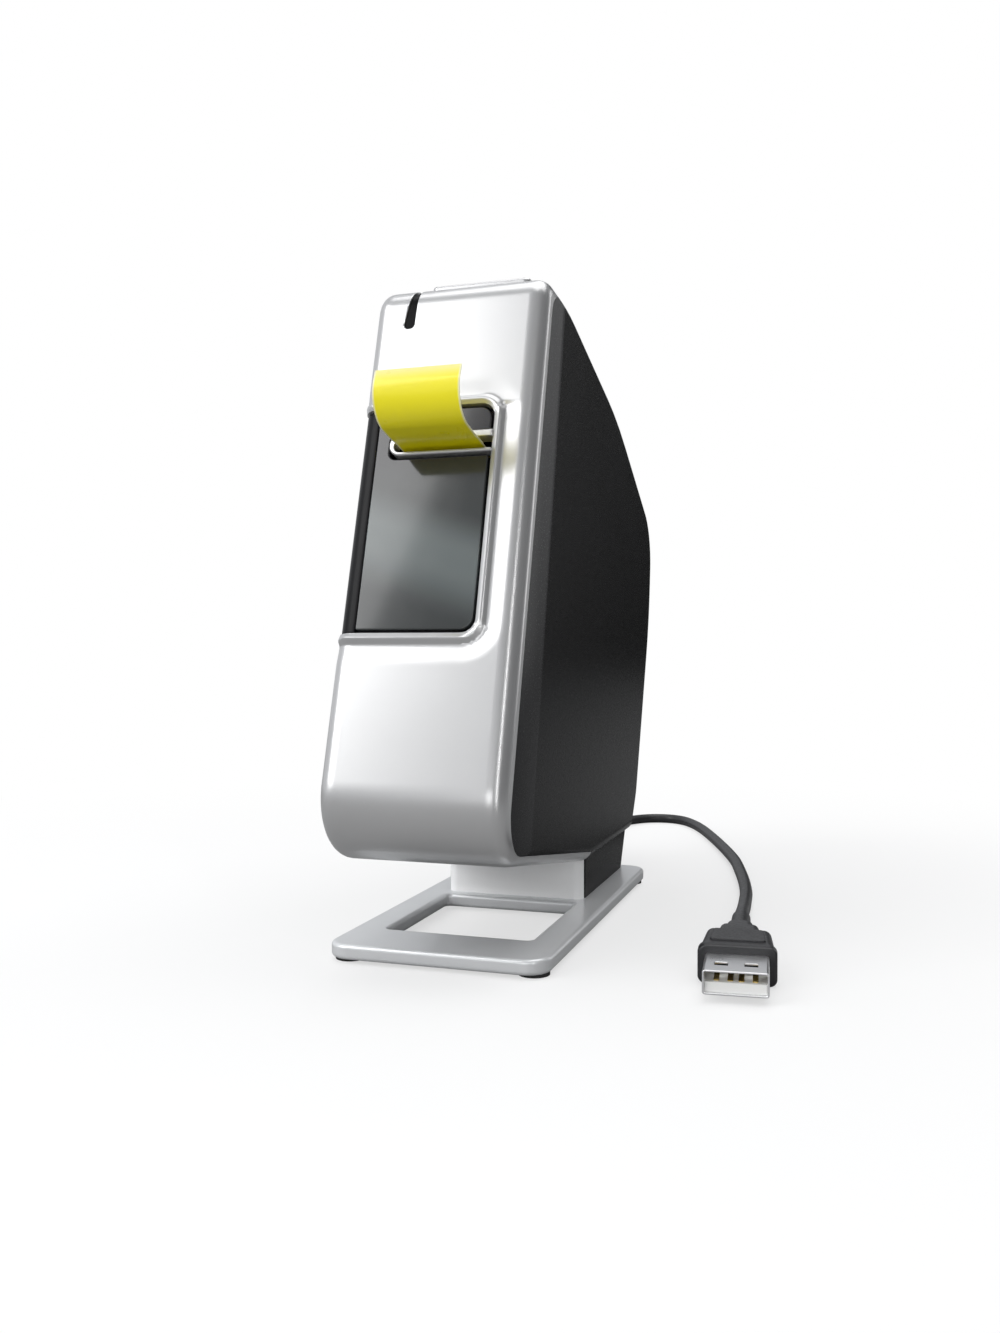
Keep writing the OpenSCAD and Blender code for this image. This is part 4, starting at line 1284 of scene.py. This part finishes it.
@dataclass
class CassetteDoor:
    """Door of the tape bay: a side panel with a smoked pane that wraps round to the face."""

    sink: float = 0.7
    pane_t: float = 1.2
    back_t: float = 1.3
    frame_x: float = -15.2
    panel_t: float = 1.8
    gap: float = 0.35
    corner: float = 2.65
    edge: float = 0.55
    notch: tuple[float, float, float] = (-12.25, -2.1, 3.3)
    view: tuple[float, float, float, float] = (-13.2, 7.4, -35.7, -5.5)
    smoke: Point3 = (0.034, 0.038, 0.038)

    def build(self) -> None:
        """Builds and fits the door and its pane."""
        fit(self.panel(), DOOR_BLACK, "cassette_door", "black_gloss", ["cassette_door"])
        up = (0.0, *BODY.face_dir)
        at = tuple(c * MM for c in BODY.on_face(0, 0, 0))
        # The pane's finish paints a reflected sheen over its smoke.
        finish = SmokedPane(
            "smoked_pane", self.smoke, 0.12, Grain.POLISHED, 0.0, 0.5, 0.4, 0.05, origin=at, up=up
        )
        fit(self.pane(), finish, "cassette_door", "smoked_window", ["door_window"])

    def _span(self) -> tuple[float, float, float]:
        """Low rise, high rise and right edge of the part in the window."""
        return (WINDOW.low + self.gap, WINDOW.top - self.gap, WINDOW.right - self.gap)

    def panel(self) -> bpy.types.Object:
        """The black panel and the frame behind the pane."""
        low, high, right = self._span()
        back = WINDOW.hinge - WINDOW.hinge_r - 0.5
        door = Housing().solid("tape_bay_door", self.sink)
        front = face_box("front", (-OUTSIDE, -4, low), (right, 5.4, high), self.corner)
        side = face_box("side", (-OUTSIDE, 5.15, WINDOW.door_low + self.gap), (-10, back, high))
        carve(door, carve(front, side, "UNION"), "INTERSECT")
        inner = -BODY.half + self.panel_t
        slab = self.sink + self.pane_t + self.back_t
        carve(door, face_box("hollow", (inner + 1.2, slab, -70), (OUTSIDE, 6, 30)))
        carve(door, face_box("hollow", (inner, 5.15, -70), (OUTSIDE, 90, 30)))
        seat = self.sink + self.pane_t
        carve(door, face_box("seat", (self.frame_x, -5, low - 2), (OUTSIDE, seat, high + 2)))
        x0, x1, w0, w1 = self.view
        carve(door, face_box("view", (x0, -1, w0), (x1, 6, w1), 2.0))
        x, n0, n1 = self.notch
        carve(door, face_box("notch", (x, -1, n0), (OUTSIDE, 6, n1)))
        soften(door, 0.2)
        door.modifiers.clear()
        Hinge(WINDOW.hinge, WINDOW.door_low, WINDOW.top, bore=0.75).knuckles(door, 1, back - 1)
        return soften(door)

    def pane(self) -> bpy.types.Object:
        """The smoked pane, notched for the slot's lip."""
        low, high, right = self._span()
        low, right = low + self.edge, right - self.edge
        x, n0, n1 = self.notch
        lift = 0.02
        outer = Outline(
            (
                (self.frame_x + lift, low, 0.4),
                (right, low, self.corner),
                (right, n0, 0.5),
                (x, n0, 1.6),
                (x, n1, 1.6),
                (right, n1, 0.5),
                (right, high, self.corner),
                (self.frame_x + lift, high, 0.4),
            )
        )
        top = -self.sink
        pane = plate("smoked_pane", outer, top - self.pane_t + lift, top, 0.3, BODY.face_place, step=8)
        return soften(pane)


@dataclass
class BatteryDoor:
    """Flat door of the battery bay with a finger groove, in the left side."""

    gap: float = 0.35
    hinge: float = 108.0
    thick: float = 1.8
    groove: tuple[float, float, float] = (66.5, -40.0, -29.0)

    def build(self) -> None:
        """Builds and fits the door."""
        front, _, low, high = BAY
        back = self.hinge - 1.7
        corner = (front + self.gap, low + self.gap)
        outline = Outline.rectangle(corner, (back, high - self.gap), 0.8)
        half = BODY.half
        door = plate(
            "battery_bay_door", outline, -half, -half + self.thick, 0.35,
            lambda u, v, h: BODY.on_face(h, u, v),
        )
        n, w0, w1 = self.groove
        for k in range(3):
            a = n + 2.2 * k
            carve(door, face_box("groove", (-half - 1, a, w0), (-half + 0.6, a + 1.0, w1)))
        soften(door, 0.12)
        door.modifiers.clear()
        Hinge(self.hinge, low, high, bore=0.75).knuckles(door, 1, back - 1)
        fit(soften(door), BLACK, "battery_door", "black_cover", ["battery_door"])


@dataclass
class CutterButton:
    """Silver push button that stands out of the top edge and works the cutter."""

    span: tuple[float, float, float, float] = BUTTON_SPAN
    foot: float = 33.0
    proud: float = 0.7
    rim: float = 0.6

    def top(self, depth: float) -> float:
        """Rise of the body's flat top at a depth."""
        lean = math.radians(BODY.lean)
        return (BODY.slot_drop + depth * math.sin(lean)) / math.cos(lean)

    def build(self) -> None:
        """Builds and fits the button."""
        x0, x1, n0, n1 = self.span
        outline = Outline.rectangle((x0, n0), (x1, n1), 1.3)
        rings = [[BODY.on_face(u, v, self.foot) for u, v in outline.points(9)]]
        for height, inset in rim_steps(-self.rim, self.proud, self.rim)[6:]:
            plan = outline.inset(inset).points(9)
            rings.append([BODY.on_face(u, v, self.top(v) + height) for u, v in plan])
        button = soften(skin("cutter_push_button", [rings]))
        fit(button, SILVER, "cutter", "silver_shell", ["cutter_button"])


@dataclass
class PowerButton:
    """Round grey button on the rear slope of the top, dished a little."""

    mid: Point2 = (-0.327, 133.49)
    tilt: float = 15.59
    profile: tuple[tuple[float, float], ...] = (
        (-3.9, 5.8), (-2.5, 5.8), (-2.48, 4.4), (0.3, 4.4), (0.55, 4.3), (0.72, 4.1), (0.8, 3.8),
        (0.72, 3.0), (0.6, 2.0), (0.55, 1.0), (0.54, 0.05),
    )

    def place(self, u: float, v: float, height: float) -> Point3:
        """Places a point that is drawn flat on the slope."""
        a, b = math.sin(math.radians(self.tilt)), math.cos(math.radians(self.tilt))
        return (u, self.mid[0] + v * b + height * a, self.mid[1] - v * a + height * b)

    def bore(self, name: str, radius: float) -> bpy.types.Object:
        """The bore that the button stands in."""
        return lathe(name, [(-12, radius), (12, radius)], self.place)

    def build(self) -> None:
        """Builds and fits the button."""
        button = soften(lathe("power_push_button", self.profile, self.place))
        fit(button, BUTTON_GREY, "power_button", "power_grey", ["power_button"])


@dataclass(frozen=True)
class Coil:
    """Sizes of a coil spring, standing on its fixed end."""

    radius: float
    wire: float
    height: float
    turns: int
    steps: int = 20

    def rings(self, place: Placer) -> list[Ring]:
        """Rings of the wire.

        Args:
            place: Turns (u, v, height) into a point.

        Returns:
            The rings from the fixed end up.
        """
        made = []
        for k in range(self.turns * self.steps + 1):
            a = 2 * math.pi * k / self.steps
            mid = self.height * k / (self.turns * self.steps)
            mid = self.wire + (self.height - 2 * self.wire) * mid / self.height
            ring = []
            for j in range(8):
                b = 2 * math.pi * j / 8
                r = self.radius + self.wire * math.cos(b)
                ring.append(place(r * math.cos(a), r * math.sin(a), mid + self.wire * math.sin(b)))
            made.append(ring)
        return made


@dataclass
class ReturnSprings:
    """Springs that push the cutter button and the power button back up."""

    cutter: Coil = Coil(1.2, 0.2, 10.0, 6)
    cutter_x: tuple[float, float] = (-5.8, 6.2)
    cutter_at: tuple[float, float] = (8.4, 14.0)
    cutter_travel: float = 4.5
    power: Coil = Coil(2.6, 0.2, 5.0, 4)
    power_low: float = -9.0
    power_travel: float = 1.0

    def build(self) -> None:
        """Builds and fits both springs."""
        depth, low = self.cutter_at
        parts = []
        for n, x in enumerate(self.cutter_x):
            rings = self.cutter.rings(lambda u, v, h, x=x: BODY.on_face(x + u, depth + v, low + h))
            parts.append(skin(f"coil_{n}", [rings]))
        pair = self._joined("cutter_return_springs", parts)
        fit(soften(pair, 0, 60), STEEL, HOUSING, "steel", ["cutter_springs"])
        up = (0.0, *BODY.face_dir)
        foot = tuple(c * MM for c in BODY.on_face(0, depth, low))
        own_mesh(pair)
        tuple(foot)
        button = PowerButton()
        rings = self.power.rings(lambda u, v, h: button.place(u, v, self.power_low + h))
        spring = skin("power_return_spring", [rings])
        fit(soften(spring, 0, 60), STEEL, HOUSING, "steel", ["power_spring"])
        foot, top = Vector(button.place(0, 0, self.power_low)), Vector(button.place(0, 0, 0))
        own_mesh(spring)

    @staticmethod
    def _joined(name: str, parts: Sequence[bpy.types.Object]) -> bpy.types.Object:
        """Joins meshes into one piece without carving.

        Args:
            name: The piece's name.
            parts: The meshes, which are used up.

        Returns:
            The piece.
        """
        made = bmesh.new()
        for part in parts:
            made.from_mesh(part.data)
            bpy.data.objects.remove(part)
        mesh = bpy.data.meshes.new(name)
        made.to_mesh(mesh)
        made.free()
        obj = bpy.data.objects.new(name, mesh)
        bpy.context.scene.collection.objects.link(obj)
        return obj


# ---------------------------------------------------------------- stand, label and lead


@dataclass
class Stand:
    """Silver stand plate with a rounded window in it."""

    half_w: float = 23.6
    front: float = -61.6
    back: float = 42.2
    low: float = 0.8
    rim: float = 0.9
    corner: float = 5.0
    opening: tuple[float, float, float] = (16.2, -46.2, -8.8)

    def build(self) -> None:
        """Builds and fits the plate."""
        outer = Outline.rectangle((-self.half_w, self.front), (self.half_w, self.back), self.corner)
        half, y0, y1 = self.opening
        hole = Outline.rectangle((-half, y0), (half, y1), 1.2)
        stand = plate(
            "stand_plate", outer, self.low, BODY.base_top, self.rim, upright, [hole], step=6
        )
        fit(soften(stand), BASE_SILVER, HOUSING, "silver_base", ["stand_base"])


@dataclass
class LabelStrip:
    """Piece of label tape that hangs out of the slot and curls up."""

    left: float = -9.5
    right: float = 8.5
    out: float = 9.5
    drop: float = 0.5
    curl: float = 6.5
    tip: float = 2.4
    thick: float = 0.2

    def line(self) -> list[Point2]:
        """The strip's middle line as (depth, rise)."""
        turns = [math.radians(a) for a in range(-90, 9, 4)]
        bend = [
            (-self.out - self.curl * math.cos(a), self.curl * (1 + math.sin(a)) - self.drop)
            for a in turns
        ]
        end = bend[-1]
        tail = [(end[0] + self.tip * 0.14 * t, end[1] + self.tip * 0.99 * t) for t in (0.5, 1.0)]
        flat = [(3.8, 0.0), (1.0, 0.0), (-1.0, 0.0), (-3.2, -0.15), (-4.75, -0.35), (-7.0, -0.47)]
        return [*flat, *bend, *tail]

    def build(self) -> None:
        """Builds and fits the strip."""
        line = self.line()
        sides: list[list[Point2]] = [[], []]
        for i, (n, w) in enumerate(line):
            a, b = line[max(i - 1, 0)], line[min(i + 1, len(line) - 1)]
            t = unit2((b[0] - a[0], b[1] - a[1]))
            for k, way in enumerate((0.5, -0.5)):
                sides[k].append((n - t[1] * way * self.thick, w + t[0] * way * self.thick))
        band = sides[0] + sides[1][::-1]
        count = 8
        places = [self.left + (self.right - self.left) * k / count for k in range(count + 1)]
        strip = skin("label_tape_strip", [[[BODY.on_face(x, n, w) for n, w in band] for x in places]])
        top = BODY.on_face(0, *line[-1])[2]
        finish = LaminatedTape(
            "tape_yellow", (0.97, 0.86, 0.004), 0.3, Grain.POLISHED, 0.0, 0.5, 0.3, 0.02,
            middle=(self.left + self.right) / 2, top=top,
        )
        fit(soften(strip, 0, 50), finish, HOUSING, "yellow_tape", ["label_strip"])


@dataclass
class DataLead:
    """Dark lead from the neck's back to a plug on the table beside the stand."""

    diameter: float = 3.2
    route: tuple[Point3, ...] = (
        (0, 58, 8.6), (0, 64, 8.3), (-0.5, 71, 6.8), (-1, 78, 4.6), (-2, 85, 2.8), (-3, 93, 1.9),
        (-4, 102, 1.7), (-4.5, 112, 1.7), (-4.5, 122, 1.7), (-3.5, 131, 1.7), (-0.5, 140, 1.7),
        (5, 146.5, 1.7), (12, 148, 1.7), (18, 144.5, 1.7), (23, 136.5, 1.7), (27.5, 126, 1.7),
        (32, 113, 1.7), (36.5, 99, 1.7), (41, 84, 1.7), (45, 69, 1.7), (48, 54, 1.7), (50.5, 40, 1.7),
        (52.5, 26, 1.7), (53.5, 14, 1.8), (54.2, 4, 2.3), (54.8, -5, 3.2), (55.4, -12.6, 3.8),
    )
    gland_at: tuple[float, float] = (35.2, 8.6)
    turn: float = 5.0
    grip: float = 24.0
    relief: float = 16.0
    shell: tuple[float, float, float, float] = (12.0, 4.5, 12.0, 0.35)

    def centreline(self, pieces: int = 6) -> list[Point3]:
        """The route as a smooth line.

        Args:
            pieces: Points between two places of the route.

        Returns:
            The line's points.
        """
        r = [Vector(p) for p in self.route]
        made = []
        for i in range(len(r) - 1):
            a, b, c, d = r[max(i - 1, 0)], r[i], r[i + 1], r[min(i + 2, len(r) - 1)]
            for k in range(pieces):
                t = k / pieces
                square = (2 * a - 5 * b + 4 * c - d) * t**2
                cube = (3 * b - a - 3 * c + d) * t**3
                made.append(tuple(0.5 * (2 * b + (c - a) * t + square + cube)))
        return [*made, tuple(r[-1])]

    def at_plug(self, u: float, v: float, along: float) -> Point3:
        """Places a point of the plug: u across, v up and along from the grip's front to the back."""
        a = math.radians(self.turn)
        x, y, z = self.route[-1]
        run = along - self.relief - self.grip
        return (x + u * math.cos(a) - run * math.sin(a), y + u * math.sin(a) + run * math.cos(a), z + v)

    def build(self) -> None:
        """Builds and fits the gland, the lead, the plug's grip and its shell."""
        fit(self.gland(), LEAD_GREY, HOUSING, "cord_grey", ["cord_gland"])
        lead = self.lead()
        fit(lead, LEAD_GREY, HOUSING, "cord_grey", ["usb_lead"])
        grip = fit(self.plug_grip(), LEAD_GREY, HOUSING, "cord_grey", ["plug_grip"])
        shell = fit(self.plug_shell(), NICKEL, HOUSING, "plug_metal", ["plug_shell"])
        line = self.centreline()
        length = sum((Vector(b) - Vector(a)).length for a, b in zip(line, line[1:])) * MM
        log.info("the lead is %.1f mm long", length / MM)
        tuple(c * MM for c in self.route[0])

    def lead(self) -> bpy.types.Object:
        """The lead as a round curve."""
        curve = bpy.data.curves.new("data_lead", "CURVE")
        curve.dimensions, curve.bevel_depth, curve.bevel_resolution = "3D", self.diameter / 2 * MM, 8
        curve.use_fill_caps = True
        line = self.centreline()
        spline = curve.splines.new("POLY")
        spline.points.add(len(line) - 1)
        for point, place in zip(spline.points, line):
            point.co = (*(c * MM for c in place), 1.0)
        spline.use_smooth = True
        obj = bpy.data.objects.new("data_lead", curve)
        bpy.context.scene.collection.objects.link(obj)
        return obj

    def gland(self) -> bpy.types.Object:
        """The ribbed, tapered relief that the lead comes out of."""
        y0, z = self.gland_at
        profile = [(0, 3.9), (1.6, 3.9), (1.62, 2.9), (8.8, 2.9)]
        for k in range(6):
            s, r = 9.2 + 2.1 * k, 2.85 - 0.12 * k
            profile += [(s, r), (s + 1.3, r - 0.05), (s + 1.45, r - 0.45), (s + 1.95, r - 0.48)]
        profile += [(21.8, 2.2), (22.6, 2.15), (22.8, 1.95)]
        return soften(lathe("lead_gland", profile, lambda u, v, s: (u, y0 + s, z + v)), 0.1)

    def plug_grip(self) -> bpy.types.Object:
        """The moulded grip, wider to the front, with a stepped relief and a raised panel."""
        rows = (
            (0.0, 7.0, 3.3, 1.2), (0.25, 7.3, 3.6, 1.4), (0.7, 7.5, 3.8, 1.5), (2.5, 7.5, 3.8, 1.5),
            (2.9, 7.1, 3.75, 1.5), (14.2, 6.5, 3.7, 1.6), (15.0, 6.1, 3.4, 1.6), (15.02, 4.4, 3.2, 1.4),
            (21.4, 4.0, 3.1, 1.4), (21.9, 3.7, 2.9, 1.4), (21.92, 3.0, 2.7, 1.6), (27.6, 2.8, 2.5, 1.6),
            (28.0, 2.6, 2.3, 1.8), (28.02, 2.25, 2.25, 2.2), (39.3, 2.05, 2.05, 2.0),
            (40.0, 1.85, 1.85, 1.8),
        )
        rings = []
        for along, a, b, r in rows:
            section = Outline.rectangle((-a, -b), (a, b), r)
            rings.append([self.at_plug(u, v, along) for u, v in section.points(10)])
        grip = skin("plug_moulded_grip", [rings])
        panel = Outline(((-5.4, 4.2, 0.8), (5.4, 4.2, 0.8), (4.9, 13.0, 0.8), (-4.9, 13.0, 0.8)))
        raised = plate("panel", panel, 3.0, 4.12, 0.25, lambda u, v, h: self.at_plug(u, h, v))
        carve(grip, raised, "UNION")
        return soften(grip, 0.1)

    def plug_shell(self) -> bpy.types.Object:
        """The plug's folded metal shell with two latch holes in its top."""
        w, h, run, wall = self.shell
        outer = Outline.rectangle((-w / 2, -h / 2), (w / 2, h / 2), 0.55)
        inner = Outline.rectangle((-w / 2 + wall, -h / 2 + wall), (w / 2 - wall, h / 2 - wall), 0.25)
        shell = plate(
            "plug_metal_shell", outer, -run, 0.4, 0.12, self.at_plug, [inner], step=15
        )
        for side in (-1, 1):
            x = side * w / 4.4
            hole = Outline.rectangle((x - 1.25, -run / 2 - 2.2), (x + 1.25, -run / 2 + 0.2), 0.15)
            carve(shell, prism("hole", hole.points(15), 0.5, h, lambda u, v, s: self.at_plug(u, s, v)))
        return soften(shell, 0.05)


# ---------------------------------------------------------------- parts that keep their CAD mesh


@dataclass
class InnerWorks:
    """Finishes and small edge roundings for the CAD parts that keep their own mesh."""

    finishes: dict[str, Finish] = field(
        default_factory=lambda: {
            "door_latch": GLOSS_BLACK,
            "inner_frame": GREY_PLASTIC, "cutter_carrier": GREY_PLASTIC, "battery_tray": GREY_PLASTIC,
            "power_switch": GREY_PLASTIC, "gear_plate": STEEL, "gear_posts": STEEL,
            "case_screws": STEEL, "stand_screws": STEEL, "motor": STEEL, "platen_shaft": STEEL,
            "printhead_bracket": STEEL, "door_pin": STEEL, "battery_pin": STEEL,
            "cutter_blade": STEEL,
            "motor_pinion": BRASS, "battery_contacts": BRASS, "plug_contacts": GOLD,
            "idler_rear": ACETAL, "idler_front": ACETAL, "platen_gear": ACETAL, "ribbon_gear": ACETAL,
            "platen_roller": RUBBER, "stand_pads": RUBBER, "printhead": CERAMIC,
            "cassette_tray": CASSETTE, "cassette_lid": CASSETTE, "tape_core": ACETAL,
            "ribbon_core": ACETAL, "ribbon_supply": RIBBON, "circuit_board": BOARD,
            "board_parts": CHIP, "battery_pack": BATTERY, "plug_tongue": TONGUE_WHITE,
        }
    )
    tape: Finish = Finish("tape_on_roll", (0.9, 0.8, 0.02), 0.3, Grain.POLISHED, 0.0, 0.5, 0.2, 0.03)
    rounding: float = 0.15

    def build(self) -> None:
        """Gives each CAD part its finish and a small rounding."""
        for node in ("tape_roll", "tape_web"):
            self._dress(node, self.tape)
        for node, finish in self.finishes.items():
            self._dress(node, finish)

    def _dress(self, node: str, finish: Finish) -> None:
        """Finishes one CAD part."""
        obj = bpy.data.objects[node]
        dress(obj, finish)
        weld = obj.modifiers.new("weld", "WELD")
        weld.merge_threshold = 0.001 * MM
        bevel = obj.modifiers.new("edges", "BEVEL")
        bevel.width, bevel.segments = self.rounding * MM, 1
        bevel.limit_method, bevel.angle_limit = "ANGLE", math.radians(50)
        bevel.harden_normals = False
        log.info("%s keeps its own mesh in %s", node, finish.name)


# ---------------------------------------------------------------- studio


@dataclass
class Studio:
    """Camera, soft lights and a pale floor."""

    eye: Point3 = (0.083215, -0.274322, 0.064202)
    yaw: float = 17.924
    pitch: float = 0.872
    lens: float = 31.14
    sky: tuple[float, float] = (0.8, 0.16)
    floor_bounce: Point3 = (0.34, 0.34, 0.34)
    floor_seen: Point3 = (0.92, 0.92, 0.92)
    floor_low: Point2 = (-4000, -2500)
    floor_high: Point2 = (4000, 9000)

    def build(self) -> None:
        """Sets the camera, the lights and the floor up."""
        self.camera()
        self.surround()
        self.lights()

    def camera(self) -> None:
        """The camera, low beside the front."""
        data = bpy.data.cameras.new("camera")
        data.lens, data.sensor_width, data.sensor_fit = self.lens, 36.0, "AUTO"
        data.clip_start = 0.01
        yaw, pitch = math.radians(self.yaw), math.radians(self.pitch)
        ahead = Vector(
            (-math.sin(yaw) * math.cos(pitch), math.cos(yaw) * math.cos(pitch), -math.sin(pitch))
        )
        eye = bpy.data.objects.new("camera", data)
        bpy.context.scene.collection.objects.link(eye)
        eye.location = self.eye
        eye.rotation_euler = ahead.to_track_quat("-Z", "Y").to_euler()
        bpy.context.scene.camera = eye

    def surround(self) -> None:
        """A white world and a pale floor that runs far back."""
        world = bpy.data.worlds.new("studio")
        world.use_nodes = True
        nodes, links = world.node_tree.nodes, world.node_tree.links
        back = nodes["Background"]
        back.inputs["Color"].default_value = (0.95, 0.97, 1.0, 1)
        place = nodes.new("ShaderNodeTexCoord")
        axes = nodes.new("ShaderNodeSeparateXYZ")
        links.new(place.outputs["Generated"], axes.inputs[0])
        fade = nodes.new("ShaderNodeMapRange")
        for key, value in zip(("From Min", "From Max", "To Min", "To Max"), (-0.9, 0.8, *self.sky)):
            fade.inputs[key].default_value = value
        links.new(axes.outputs["X"], fade.inputs["Value"])
        links.new(fade.outputs["Result"], back.inputs["Strength"])
        path = nodes.new("ShaderNodeLightPath")
        plain = nodes.new("ShaderNodeBackground")
        plain.inputs["Color"].default_value = (1, 1, 1, 1)
        mixed = nodes.new("ShaderNodeMixShader")
        links.new(path.outputs["Is Camera Ray"], mixed.inputs[0])
        links.new(back.outputs[0], mixed.inputs[1])
        links.new(plain.outputs[0], mixed.inputs[2])
        links.new(mixed.outputs[0], nodes["World Output"].inputs["Surface"])
        bpy.context.scene.world = world
        bpy.context.scene.view_settings.view_transform = "Standard"
        (x0, y0), (x1, y1) = self.floor_low, self.floor_high
        corners = [(x0, y0, 0), (x1, y0, 0), (x1, y1, 0), (x0, y1, 0)]
        floor = new_object("floor", corners, [(0, 1, 2, 3)])
        floor.data.materials.append(self.floor_paper())

    def floor_paper(self) -> bpy.types.Material:
        """Pale paper under the object that turns into even white away from it.

        Returns:
            The floor's material.
        """
        made = bpy.data.materials.new("floor_paper")
        made.use_nodes = True
        maker = NodeMaker(made)
        tree = maker.tree
        maker.shader.inputs["Roughness"].default_value = 0.8
        maker.shader.inputs["Specular IOR Level"].default_value = 0.15
        path = tree.nodes.new("ShaderNodeLightPath")
        seen = maker.mix(path.outputs["Is Camera Ray"], self.floor_bounce, self.floor_seen)
        maker.join(seen, maker.shader.inputs["Base Color"])
        glow = tree.nodes.new("ShaderNodeEmission")
        reach = tree.nodes.new("ShaderNodeVectorMath")
        reach.operation = "LENGTH"
        maker.join(maker.place, reach.inputs[0])
        far = maker.ranged(reach.outputs["Value"], 0.08, 0.3, 0.6, 1.0)
        gate = tree.nodes.new("ShaderNodeMath")
        gate.operation = "MULTIPLY"
        maker.join(far, gate.inputs[0])
        maker.join(path.outputs["Is Camera Ray"], gate.inputs[1])
        mixed = tree.nodes.new("ShaderNodeMixShader")
        maker.join(gate.outputs[0], mixed.inputs[0])
        maker.join(maker.shader.outputs[0], mixed.inputs[1])
        maker.join(glow.outputs[0], mixed.inputs[2])
        maker.join(mixed.outputs[0], tree.nodes["Material Output"].inputs["Surface"])
        return made

    def lights(self) -> None:
        """Soft lights, and a dark card that the black side mirrors."""
        self._area("front_left", (-0.75, -0.75, 0.75), (0, 0, 0.07), (0.7, 0.9), 7.0)
        self._area("overhead", (0.1, 0.15, 1.0), (0, 0, 0.05), (0.9, 0.9), 5.0)
        self._area("right_edge", (0.55, -0.62, 0.25), (0.02, -0.05, 0.08), (0.06, 0.6), 0.9)
        self._area("strip_panel", (1.5, 2.6, 0.9), (0, 0, 0.08), (0.8, 1.8), 7.0)
        self._area("front_fill", (0.05, -1.3, 0.25), (0, 0, 0.08), (0.7, 0.4), 1.9)
        card = new_object(
            "dark_card",
            [(60, 2600, -10), (1000, 2600, -10), (1000, 2600, 2600), (60, 2600, 2600)],
            [(0, 1, 2, 3)],
        )
        dress(card, Finish("card_black", (0.01, 0.01, 0.01), 0.9, Grain.PAINTED, 0.0, 0.0, 0.0, 0.1))
        card.visible_camera = False
        card.visible_shadow = False

    def _area(self, name: str, at: Point3, to: Point3, size: Point2, power: float) -> None:
        """One soft area light.

        Args:
            name: The light's name.
            at: Its place in metres.
            to: The point it faces.
            size: Width and height in metres.
            power: Power in watts.
        """
        data = bpy.data.lights.new(name, "AREA")
        data.shape, data.size, data.size_y, data.energy = "RECTANGLE", *size, power
        obj = bpy.data.objects.new(name, data)
        bpy.context.scene.collection.objects.link(obj)
        obj.location = at
        obj.rotation_euler = (Vector(to) - Vector(at)).to_track_quat("-Z", "Y").to_euler()


def main() -> None:
    """Builds the label maker from its housing inwards, then the studio."""
    logging.basicConfig(level=logging.INFO, format="%(message)s")
    Studio().build()
    DataLead().build()
    Housing().build()
    CassetteDoor().build()
    BatteryDoor().build()
    CutterButton().build()
    PowerButton().build()
    ReturnSprings().build()
    Stand().build()
    LabelStrip().build()
    InnerWorks().build()


if __name__ == "__main__":
    main()
